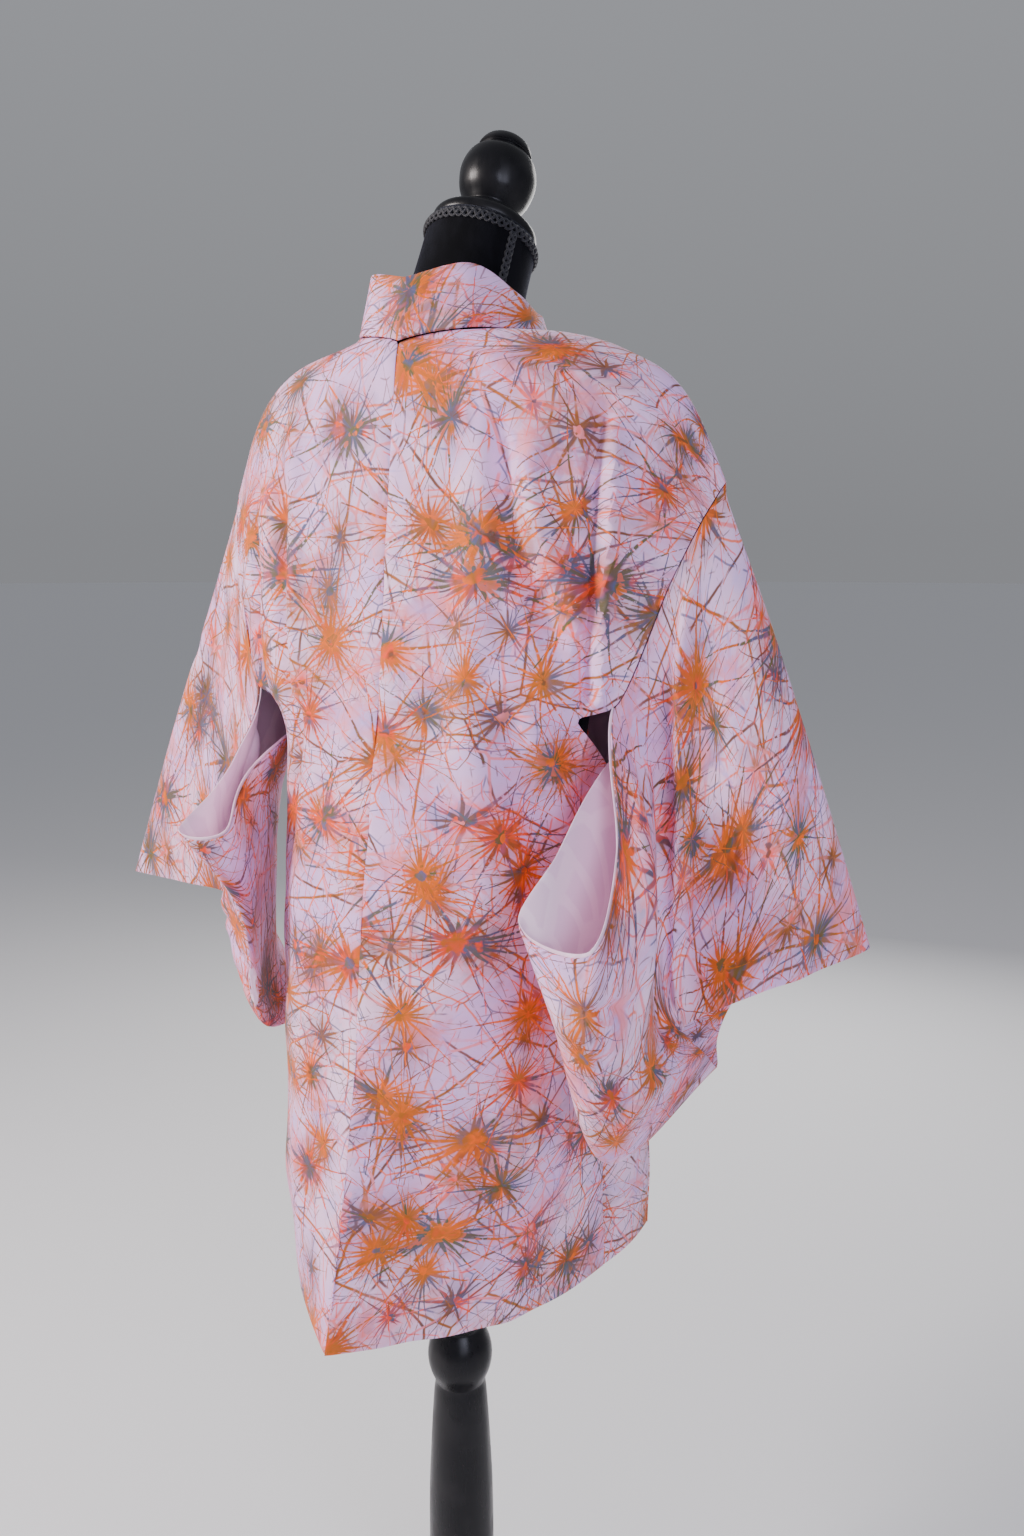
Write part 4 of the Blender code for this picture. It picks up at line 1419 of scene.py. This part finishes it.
@dataclass
class Haori:
    """The jacket's sewn pieces."""

    cloth: bpy.types.Material
    silk: bpy.types.Material
    step: float = 0.0055
    panel_width: float = 0.30
    ring_steps: int = 160
    sleeve_steps: int = 66
    seam_gap: float = 0.0012
    wedge_gap: float = 0.0008
    wedge_bow: float = 0.004
    lining_rows: int = 50
    lining_columns: tuple[int, int] = (-48, 62)  # steps round the ring, either side of its seam
    lining_inset: float = 0.0017
    lining_roll: float = 0.0028
    collar_fineness: int = 6
    back_creases: ClassVar[tuple[Crease, ...]] = (
        Crease(
            ((8.6, 0.36), (8.0, 0.39), (7.5, 0.43), (7.1, 0.50), (6.8, 0.60), (6.3, 0.76)), 0.011, -0.0151
        ),
        Crease(((8.4, 0.47), (7.7, 0.50), (7.2, 0.57), (6.8, 0.70), (6.4, 0.80)), 0.012, 0.0104),
        Crease(
            ((8.9, 0.66), (8.4, 0.665), (7.8, 0.69), (7.1, 0.725), (6.6, 0.77), (6.1, 0.87)),
            0.0050,
            -0.0116,
            (0.3, 0.0),
        ),
        Crease(
            ((8.6, 0.70), (7.8, 0.735), (7.1, 0.775), (6.6, 0.82), (6.1, 0.93)), 0.0075, 0.0093, (0.3, 0.0)
        ),
        Crease(((8.6, 0.20), (7.6, 0.22), (6.4, 0.25), (5.0, 0.27), (3.9, 0.28)), 0.016, -0.0038),
        Crease(((7.6, 0.31), (6.6, 0.35), (5.0, 0.40), (3.6, 0.43), (2.2, 0.44)), 0.018, 0.0051),
        Crease(((6.2, 0.62), (5.2, 0.60), (4.2, 0.60), (3.0, 0.63), (2.0, 0.66)), 0.014, -0.0065),
        Crease(((5.6, 0.74), (4.6, 0.72), (3.4, 0.75), (2.2, 0.80)), 0.014, 0.0065),
        Crease(((2.6, 0.58), (1.6, 0.60), (0.6, 0.60), (0.0, 0.60)), 0.020, 0.0046, (0.4, 0.0)),
        Crease(((2.2, 0.25), (1.2, 0.26), (0.0, 0.27)), 0.022, -0.0038, (0.4, 0.0)),
    )
    left_creases: ClassVar[tuple[Crease, ...]] = (
        Crease(
            ((8.4, 0.55), (7.6, 0.53), (6.6, 0.55), (5.4, 0.58), (4.0, 0.50), (2.8, 0.47)), 0.010, -0.0086
        ),
        Crease(((8.6, 0.46), (7.6, 0.45), (6.4, 0.48), (5.2, 0.48)), 0.012, 0.0061),
        Crease(((8.2, 0.72), (7.4, 0.74), (6.7, 0.80), (6.1, 0.90)), 0.008, -0.0097, (0.3, 0.0)),
        Crease(((7.8, 0.20), (6.4, 0.24), (4.8, 0.26), (3.4, 0.25)), 0.018, -0.0032),
        Crease(((4.4, 0.34), (3.0, 0.33), (1.6, 0.30), (0.2, 0.28)), 0.020, 0.0043, (0.4, 0.1)),
        Crease(((3.0, 0.64), (2.0, 0.62), (1.0, 0.62), (0.0, 0.64)), 0.018, -0.0043, (0.4, 0.0)),
    )
    front_creases: ClassVar[tuple[Crease, ...]] = (
        Crease(((13.2, 0.70), (13.9, 0.68), (14.5, 0.74), (15.0, 0.90)), 0.009, -0.0090, (0.3, 0.0)),
        Crease(((13.0, 0.50), (14.0, 0.52), (15.2, 0.62), (16.2, 0.72)), 0.012, 0.0058),
        Crease(((14.2, 0.22), (15.8, 0.26), (17.6, 0.30), (19.2, 0.34)), 0.014, -0.0040),
        Crease(((16.4, 0.66), (17.6, 0.62), (18.8, 0.60), (20.2, 0.62)), 0.014, -0.0043),
        Crease(((18.0, 0.40), (19.4, 0.42), (20.6, 0.44), (21.0, 0.45)), 0.018, 0.0040, (0.4, 0.0)),
    )
    right_sleeve_creases: ClassVar[tuple[Crease, ...]] = (
        Crease(
            ((0.02, 0.060), (0.12, 0.100), (0.22, 0.133), (0.49, 0.176), (0.70, 0.190), (0.95, 0.200)),
            0.006,
            0.0097,
            (0.2, 0.05),
        ),
        Crease(
            ((0.06, 0.125), (0.24, 0.170), (0.50, 0.214), (0.72, 0.260), (0.86, 0.270)),
            0.008,
            -0.0117,
            (0.3, 0.2),
        ),
        Crease(((0.03, 0.215), (0.14, 0.235), (0.28, 0.285), (0.42, 0.310), (0.60, 0.315)), 0.007, 0.0078),
        Crease(((0.20, 0.030), (0.50, 0.055), (0.80, 0.070), (1.0, 0.078)), 0.014, 0.0043, (0.4, 0.0)),
        Crease(((0.10, 0.085), (0.40, 0.118), (0.70, 0.128), (0.95, 0.130)), 0.016, -0.0055),
        Crease(((0.20, 0.490), (0.26, 0.442), (0.33, 0.400), (0.42, 0.360), (0.50, 0.330)), 0.006, -0.0069),
        Crease(((0.30, 0.485), (0.36, 0.440), (0.44, 0.400), (0.54, 0.360)), 0.007, 0.0059),
        Crease(((0.42, 0.480), (0.49, 0.440), (0.57, 0.395), (0.68, 0.350)), 0.008, -0.0059),
        Crease(((0.60, 0.465), (0.68, 0.420), (0.76, 0.380), (0.86, 0.345)), 0.010, 0.0043),
        Crease(((0.10, 0.930), (0.40, 0.900), (0.70, 0.880), (0.95, 0.860)), 0.014, -0.0069),
        Crease(((0.15, 0.830), (0.45, 0.800), (0.75, 0.790)), 0.016, 0.0059),
    )
    left_sleeve_creases: ClassVar[tuple[Crease, ...]] = (
        Crease(((0.03, 0.110), (0.14, 0.170), (0.20, 0.235), (0.34, 0.300)), 0.007, 0.0052),
        Crease(((0.05, 0.160), (0.20, 0.200), (0.40, 0.240), (0.62, 0.260), (0.85, 0.270)), 0.010, -0.0079),
        Crease(((0.22, 0.945), (0.18, 0.925), (0.14, 0.900), (0.08, 0.870)), 0.007, -0.0088),
        Crease(((0.30, 0.930), (0.24, 0.900), (0.16, 0.865)), 0.008, 0.0052),
        Crease(((0.20, 0.040), (0.50, 0.060), (0.85, 0.070)), 0.014, -0.0039),
        Crease(((0.34, 0.440), (0.44, 0.400), (0.54, 0.360), (0.64, 0.330)), 0.009, 0.0052),
        Crease(((0.42, 0.500), (0.52, 0.460), (0.62, 0.420), (0.74, 0.390)), 0.009, -0.0052),
        Crease(((0.15, 0.820), (0.45, 0.790), (0.75, 0.780)), 0.014, -0.0052),
    )

    def build(self) -> None:
        """Make every sewn piece."""
        for side in Side:
            self.panel(side)
            self.gusset(side)
            self.sleeve(side)
        self.collar()

    def panel(self, side: Side) -> bpy.types.Object:
        """Make one body panel with its folds, back hem over the shoulder to front hem."""
        places = self._even_places(side)
        shares = np.linspace(0.0, 1.0, round(self.panel_width / self.step) + 1)
        points = relaxed(panel_points(places, shares, side), 8)
        middle = np.array([np.mean(row.sway) for row in PANEL])
        inset = np.abs(points[:, 0, 0] - np.interp(places, np.arange(len(PANEL)), middle))
        sheet = Sheet(
            f"panel_{side.word}",
            points,
            shift=(1.3 * side.value + 4.0, 3.37),
            outside=side.value,
            inset=inset,
            even=True,
        )
        creases = self.back_creases if side is Side.RIGHT else self.left_creases
        sheet.crease(creases + self.front_creases, places, shares)
        sheet.ripple(0.0035, 0.11, 5 + side.value)
        sheet.tuck(0, 0.0035, 0.0012)
        thing = sheet.build((self.cloth, self.silk), Slot.CLOTH, [f"body_{side.word}"])
        return thing

    def _even_places(self, side: Side) -> Points:
        """Return evenly spaced places along the panel."""
        rough = np.linspace(0, len(PANEL) - 1, 1200)
        line = panel_points(rough, np.array([0.5]), side)[:, 0]
        run = np.concatenate([[0.0], np.cumsum(np.linalg.norm(np.diff(line, axis=0), axis=1))])
        return np.interp(np.linspace(0, run[-1], round(run[-1] / self.step) + 1), run, rough)

    def gusset(self, side: Side) -> bpy.types.Object:
        """Make the wedge between the back and the front panel's side edges."""
        heights = np.linspace(HEM_Z, GUSSET_TOP, 70)
        back = panel_points(np.arange(0, SLIT_BACK + 1, 0.05), np.ones(1), side)[:, 0]
        front = panel_points(np.arange(SLIT_FRONT, len(PANEL) - 0.99, 0.05), np.ones(1), side)[::-1, 0]
        rows = []
        for z in heights:
            start = np.array([np.interp(z, back[:, 2], back[:, k]) for k in range(2)] + [z])
            end = np.array([np.interp(z, front[:, 2], front[:, k]) for k in range(2)] + [z])
            way = (end - start) / np.linalg.norm(end - start)
            shares = np.linspace(0.0, 1.0, 15)[:, None]
            gap = way * self.wedge_gap
            line = (start + gap) * (1 - shares) + (end - gap) * shares
            line[:, 0] += side.value * self.wedge_bow * np.sin(np.pi * shares[:, 0])
            rows.append(line)
        sheet = Sheet(f"side_wedge_{side.word}", np.array(rows), shift=(7.0, side.value), outside=side.value)
        thing = sheet.build((self.cloth, self.silk), Slot.CLOTH, [f"gusset_{side.word}"])
        return thing

    def sleeve(self, side: Side) -> bpy.types.Object:
        """Make one sleeve with its folds, and the silk inside its body-side opening."""
        table = LEFT_SLEEVE if side is Side.LEFT else RIGHT_SLEEVE
        creases = self.left_sleeve_creases if side is Side.LEFT else self.right_sleeve_creases
        shares = np.linspace(0.0, 1.0, self.sleeve_steps)
        ring = np.linspace(0.5, 1.5, self.ring_steps + 1)
        points = sleeve_points(table, side, shares, ring)
        points = relaxed(points, 4, closed=True)
        along = points[1] - points[0]
        points[0] += along / np.linalg.norm(along, axis=1)[:, None] * self.seam_gap
        points[:, -1] = points[:, 0]
        sheet = Sheet(
            f"sleeve_cloth_{side.word}",
            points,
            shift=(2.1, 3.3 * side.value + 6.0),
            closed=True,
            level_column=self.ring_steps // 2,
        )
        sheet.outside = self._outside(sheet)
        sheet.crease([crease.past_seam() for crease in creases], shares, ring)
        sheet.points[:, -1] = sheet.points[:, 0]
        thing = sheet.build((self.cloth,), Slot.CLOTH, [f"sleeve_{side.word}"])
        self.lining(side, sheet)
        return thing

    def _outside(self, sheet: Sheet) -> float:
        """Return 1 where the grid's normals point away from its middle line, else -1."""
        middle = sheet.points.mean(axis=1, keepdims=True)
        agree = np.sum(outward(sheet.points, sheet.closed) * (sheet.points - middle), axis=2)
        return float(np.sign(np.median(agree)))

    def lining(self, side: Side, outer: Sheet) -> bpy.types.Object:
        """Make the silk just inside a sleeve's opening, from the sleeve's own points."""
        columns = np.arange(*self.lining_columns) % self.ring_steps
        inner = outer.points - outward(outer.points, True) * (outer.outside * self.lining_inset)
        ahead = inner[0] - inner[1]
        inner[0] += ahead / np.linalg.norm(ahead, axis=1)[:, None] * self.lining_roll
        patch = inner[: self.lining_rows, columns]
        sheet = Sheet(f"lining_silk_{side.word}", patch, shift=(0.5, side.value), wall=0.0008)
        sheet.outside = -outer.outside
        thing = sheet.build((self.silk,), Slot.LINING, [f"sleeve_lining_{side.word}"])
        return thing

    def collar(self) -> bpy.types.Object:
        """Make the folded collar band from one front hem, round the neck, to the other."""
        stretches = [[0.0]]
        for k, row in enumerate(COLLAR[:-1]):
            cells = row.cells * self.collar_fineness
            stretches.append(k + np.arange(1, cells + 1) / cells)
        places = np.concatenate(stretches)
        seams, edges = [], []
        for side in (Side.RIGHT, Side.LEFT):
            turn = np.array([side.value, 1.0, 1.0])
            sways = [np.array([row.sway, 0.0, 0.0]) for row in COLLAR]
            frees = [row.edge_left if side is Side.LEFT else row.edge_right for row in COLLAR]
            sewn = [row.seam * turn + sway for row, sway in zip(COLLAR, sways)]
            loose = [free * turn + sway for free, sway in zip(frees, sways)]
            seams.append(smooth_curve(sewn, places))
            edges.append(smooth_curve(loose, places))
        seam = np.vstack([self._sewn_to(seams[0], Side.RIGHT)[:0:-1], self._sewn_to(seams[1], Side.LEFT)])
        edge = np.vstack([edges[0][:0:-1], edges[1]])
        shares = np.linspace(0.0, 1.0, 13)
        points = seam[:, None] * (1 - shares[None, :, None]) + edge[:, None] * shares[None, :, None]
        points = relaxed(points, 3)
        sheet = Sheet("collar_band", points, shift=(5.2, 2.4), wall=0.0030)
        middle = len(points) // 2
        facing = outward(points)[middle, 6]
        sheet.outside = 1.0 if facing[1] > 0 else -1.0
        thing = sheet.build((self.cloth,), Slot.CLOTH, ["collar"])
        return thing

    def _sewn_to(self, line: Points, side: Side, gap: float = 0.0012) -> Points:
        """Return the collar's seam edge moved up to the body panel's inner edge.

        Args:
            line: the collar's seam edge on one side.
            side: the wearer's side.
            gap: how far apart the two middles stay.

        Returns:
            The moved edge.
        """
        panel = panel_points(np.linspace(8.5, len(PANEL) - 1, 1500), np.zeros(1), side)[:, 0]
        away = line[:, None] - panel[None]
        nearest = np.argmin(np.linalg.norm(away, axis=2), axis=1)
        way = away[np.arange(len(line)), nearest]
        far = np.linalg.norm(way, axis=1)[:, None]
        return panel[nearest] + way / far * np.minimum(far, gap)


@dataclass
class DressForm:
    """The velvet torso and neck, its braid, and the turned cap and finial."""

    velvet: bpy.types.Material
    braid: bpy.types.Material
    wood: bpy.types.Material
    sides: int = 128
    strand: float = 0.0013
    plait_lift: float = 0.0014

    def build(self) -> None:
        """Make every piece of the form."""
        self.torso()
        self.neck_braid()
        self.neck_tape()
        Turned("neck_cap_wood", CAP_PROFILE, neck_place(NECK_LENGTH + GAP), 1.0).build(self.wood, "neck_cap")
        foot = neck_place(NECK_LENGTH + CAP_PROFILE[0][1] + 2 * GAP)
        Turned("finial_wood", FINIAL_PROFILE, foot, 1.0).build(self.wood, "finial")

    def torso(self) -> bpy.types.Object:
        """Make the velvet torso and its leaning neck as one skin."""
        angles = np.arange(self.sides) / self.sides * math.tau
        rings = [self._torso_ring(row, angles) for row in FORM]
        rings += [self._neck_ring(share, angles) for share in (0.12, 0.3, 0.5, 0.75, 1.0)]
        places = np.linspace(0, len(rings) - 1, 110)
        skin = steady_curve(np.stack(rings).reshape(len(rings), -1), places).reshape(-1, self.sides, 3)
        work = wrapped_mesh(skin)
        return finished_object("velvet_form", work, (self.velvet,), ["form_torso"])

    def _torso_ring(self, row: FormRow, angles: Points) -> Points:
        """Return one section of the torso."""
        depth = np.where(np.sin(angles) > 0, row.back, -row.front)
        power = 0.85
        x = row.half_width * np.sign(np.cos(angles)) * np.abs(np.cos(angles)) ** power
        y = depth * np.sign(np.sin(angles)) * np.abs(np.sin(angles)) ** power
        return np.stack([x, y, np.full(len(angles), row.height)], 1)

    def _neck_ring(self, share: float, angles: Points) -> Points:
        """Return one section of the leaning neck."""
        radius = NECK_RADIUS + NECK_FLARE * (1 - share) ** 2
        flat = np.stack([radius * np.cos(angles), radius * np.sin(angles), np.zeros(len(angles))], 1)
        turn = np.array(lean_matrix(min(1.0, 0.35 + share)))
        return flat @ turn.T + neck_place(share * NECK_LENGTH)

    def neck_braid(self) -> bpy.types.Object:
        """Make the plaited band round the top of the neck."""
        crossings = 34
        count = crossings * 12
        t = np.arange(count) / count * math.tau
        middle = NECK_LENGTH - 0.0070

        def line(phase: float) -> Points:
            """Return one strand's path."""
            sway = np.sin(crossings * t / 2 + phase) * 0.0036
            lift = np.cos(crossings * t + 2 * phase) * 0.0007
            radius = NECK_RADIUS + self.plait_lift + lift
            flat = np.stack([radius * np.cos(t), radius * np.sin(t), sway], 1)
            return flat @ np.array(lean_matrix(1.0)).T + neck_place(middle)

        return self._plait("neck_braid_band", line, True, ["neck_braid"])

    def neck_tape(self) -> bpy.types.Object:
        """Make the plaited tape that covers the neck's side seam."""
        count = 150
        share = np.linspace(0.10, 0.90, count)
        centre = math.radians(151.0)
        crossings = 12

        def line(phase: float) -> Points:
            """Return one strand's path."""
            swing = np.sin(share * crossings * math.pi + phase) * 0.0030
            lift = np.cos(2 * (share * crossings * math.pi + phase)) * 0.0006
            path = []
            for s, side, rise in zip(share, swing, lift):
                radius = NECK_RADIUS + NECK_FLARE * (1 - s) ** 2 + self.plait_lift + rise
                angle = centre + side / radius
                flat = Vector((radius * math.cos(angle), radius * math.sin(angle), 0.0))
                path.append(np.array(lean_matrix(min(1.0, 0.35 + s)) @ flat) + neck_place(s * NECK_LENGTH))
            return np.array(path)

        return self._plait("neck_tape", line, False, [])

    def _plait(
        self, name: str, line: Callable[[float], Points], closed: bool, nodes: Sequence[str]
    ) -> bpy.types.Object:
        """Make three strands from a path that takes a phase, joined in one piece."""
        work = bmesh.new()
        for k in range(3):
            tube = self._tube(line(k * math.tau / 3), closed)
            spare = bpy.data.meshes.new("strand")
            tube.to_mesh(spare)
            tube.free()
            work.from_mesh(spare)
            bpy.data.meshes.remove(spare)
        return finished_object(name, work, (self.braid,), nodes)

    def _tube(self, path: Points, closed: bool) -> bmesh.types.BMesh:
        """Return a round strand along a path."""
        if closed:
            ahead = np.roll(path, -1, axis=0) - np.roll(path, 1, axis=0)
        else:
            ahead = np.gradient(path, axis=0)
        ahead /= np.linalg.norm(ahead, axis=1)[:, None]
        up = np.array(lean_matrix(1.0).col[2]) if closed else np.array([1.0, -0.2, 0.0])
        side = np.cross(ahead, up)
        side /= np.linalg.norm(side, axis=1)[:, None]
        over = np.cross(side, ahead)
        angles = np.arange(8) / 8 * math.tau
        ring = np.cos(angles)[None, :, None] * side[:, None] + np.sin(angles)[None, :, None] * over[:, None]
        points = path[:, None] + ring * self.strand
        run = np.arange(len(path) + 1) * np.linalg.norm(path[1] - path[0])
        flat = np.stack(np.broadcast_arrays(run[:, None], np.arange(9)[None] * self.strand), 2)
        return wrapped_mesh(points, closed, flat)


@dataclass
class Turned:
    """A turned piece: a profile of (radius, height) rounded and spun about its axis."""

    name: str
    profile: Sequence[tuple[float, float]]
    foot: Points = field(default_factory=lambda: np.zeros(3))
    lean: float = 0.0
    steps: int = 96
    fine: int = 5

    def build(self, finish: bpy.types.Material, node: str) -> bpy.types.Object:
        """Make the piece in place of a node of the frame."""
        inner = np.array(self.profile[1:-1])
        line = steady_profile(inner, self.fine)
        line = np.vstack([self.profile[0], line, self.profile[-1]])
        work = bmesh.new()
        verts = [work.verts.new((radius, 0.0, height)) for radius, height in line]
        edges = [work.edges.new(pair) for pair in zip(verts, verts[1:])]
        bmesh.ops.spin(
            work,
            geom=verts + edges,
            axis=(0.0, 0.0, 1.0),
            cent=(0.0, 0.0, 0.0),
            steps=self.steps,
            angle=math.tau,
            use_merge=True,
        )
        bmesh.ops.remove_doubles(work, verts=work.verts, dist=1e-5)
        bmesh.ops.recalc_face_normals(work, faces=work.faces)
        for face in work.faces:
            face.smooth = True
        place = Matrix.Translation(Vector(self.foot)) @ lean_matrix(self.lean).to_4x4()
        work.transform(place)
        thing = finished_object(self.name, work, (finish,), [node])
        for edge in thing.data.edges:
            edge.use_edge_sharp = False
        thing.data.set_sharp_from_angle(angle=math.radians(32.0))
        return thing


def steady_profile(profile: Points, fine: int) -> Points:
    """Return a profile rounded between its points without swinging past them."""
    places = np.linspace(0, len(profile) - 1, (len(profile) - 1) * fine + 1)
    return smooth_curve(profile, places)


@dataclass
class Stand:
    """The pole under the form, the turned column with its ball, and the round base."""

    wood: bpy.types.Material
    pole_radius: float = 0.013

    def build(self) -> None:
        """Make the three turned pieces."""
        low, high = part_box("pole")
        pole = (
            (0.0, high.z),
            (self.pole_radius - 0.001, high.z),
            (self.pole_radius, high.z - 0.001),
            (self.pole_radius, low.z + 0.001),
            (self.pole_radius - 0.001, low.z),
            (0.0, low.z),
        )
        Turned("pole_wood", pole, fine=1).build(self.wood, "pole")
        Turned("column_wood", COLUMN_PROFILE).build(self.wood, "column")
        Turned("base_wood", BASE_PROFILE).build(self.wood, "base")


@dataclass
class Studio:
    """The pale floor, the soft lights and the camera."""

    floor: bpy.types.Material
    camera_place: tuple[float, ...] = (-0.508, 0.9205, 1.25)
    camera_turn: tuple[float, ...] = (79.6, 0.0, 206.0)
    lens: float = 26.95
    horizon: tuple[float, ...] = (0.60, 0.61, 0.65, 1.0)
    zenith: tuple[float, ...] = (0.80, 0.82, 0.88, 1.0)
    glow: float = 0.42
    floor_radius: float = 60.0

    def build(self) -> None:
        """Make the floor, lights, world and camera."""
        self._floor()
        self._world()
        self._light("Key", (1.75, 1.45, 2.1), (0.0, 0.0, 1.0), 0.9, 100.0, (1.0, 0.92, 0.89))
        self._light("Fill", (-1.7, 1.7, 1.5), (0.0, 0.0, 1.1), 1.2, 34.0, (0.78, 0.80, 1.0))
        self._light("Front", (0.3, -2.3, 1.7), (0.0, 0.0, 0.9), 1.8, 42.0, (1.0, 0.98, 0.96))
        self._camera()

    def _floor(self) -> None:
        """Make the round floor."""
        work = bmesh.new()
        bmesh.ops.create_circle(work, cap_ends=True, segments=64, radius=self.floor_radius)
        mesh = bpy.data.meshes.new("Floor")
        work.to_mesh(mesh)
        work.free()
        mesh.materials.append(self.floor)
        floor = bpy.data.objects.new("Floor", mesh)
        bpy.context.scene.collection.objects.link(floor)

    def _world(self) -> None:
        """Fill the room with even pale light."""
        world = bpy.data.worlds.new("Studio")
        world.use_nodes = True
        tree = world.node_tree
        direction = tree.nodes.new("ShaderNodeTexCoord").outputs["Generated"]
        parts = tree.nodes.new("ShaderNodeSeparateXYZ")
        ramp = tree.nodes.new("ShaderNodeValToRGB")
        ramp.color_ramp.elements[0].position = 0.02
        ramp.color_ramp.elements[0].color = self.horizon
        ramp.color_ramp.elements[1].position = 0.45
        ramp.color_ramp.elements[1].color = self.zenith
        back = tree.nodes["Background"]
        back.inputs["Strength"].default_value = self.glow
        tree.links.new(direction, parts.inputs[0])
        tree.links.new(parts.outputs["Z"], ramp.inputs[0])
        tree.links.new(ramp.outputs[0], back.inputs["Color"])
        bpy.context.scene.world = world

    def _light(
        self,
        name: str,
        place: tuple[float, ...],
        target: tuple[float, ...],
        size: float,
        power: float,
        colour: tuple[float, ...],
    ) -> None:
        """Hang one square soft light facing a target."""
        lamp = bpy.data.lights.new(name, "AREA")
        lamp.size = size
        lamp.energy = power
        lamp.color = colour
        thing = bpy.data.objects.new(name, lamp)
        thing.location = place
        way = Vector(target) - Vector(place)
        thing.rotation_euler = way.to_track_quat("-Z", "Y").to_euler()
        bpy.context.scene.collection.objects.link(thing)

    def _camera(self) -> None:
        """Set the scene's camera."""
        data = bpy.data.cameras.new("Camera")
        data.lens = self.lens
        data.sensor_width = 36.0
        data.clip_start = 0.01
        camera = bpy.data.objects.new("Camera", data)
        camera.location = self.camera_place
        camera.rotation_euler = Euler([math.radians(angle) for angle in self.camera_turn])
        bpy.context.scene.collection.objects.link(camera)
        bpy.context.scene.camera = camera


def main() -> None:
    """Build the studio, the form, the stand and the jacket."""
    logging.basicConfig(level=logging.INFO, format="%(name)s: %(message)s")
    cloth, silk = StarPrint().build(), LiningSilk().build()
    wood = BlackWood().build()
    Studio(Plaster().build()).build()
    DressForm(Velvet().build(), Braid().build(), wood).build()
    Stand(wood).build()
    Haori(cloth, silk).build()


if __name__ == "__main__":
    main()
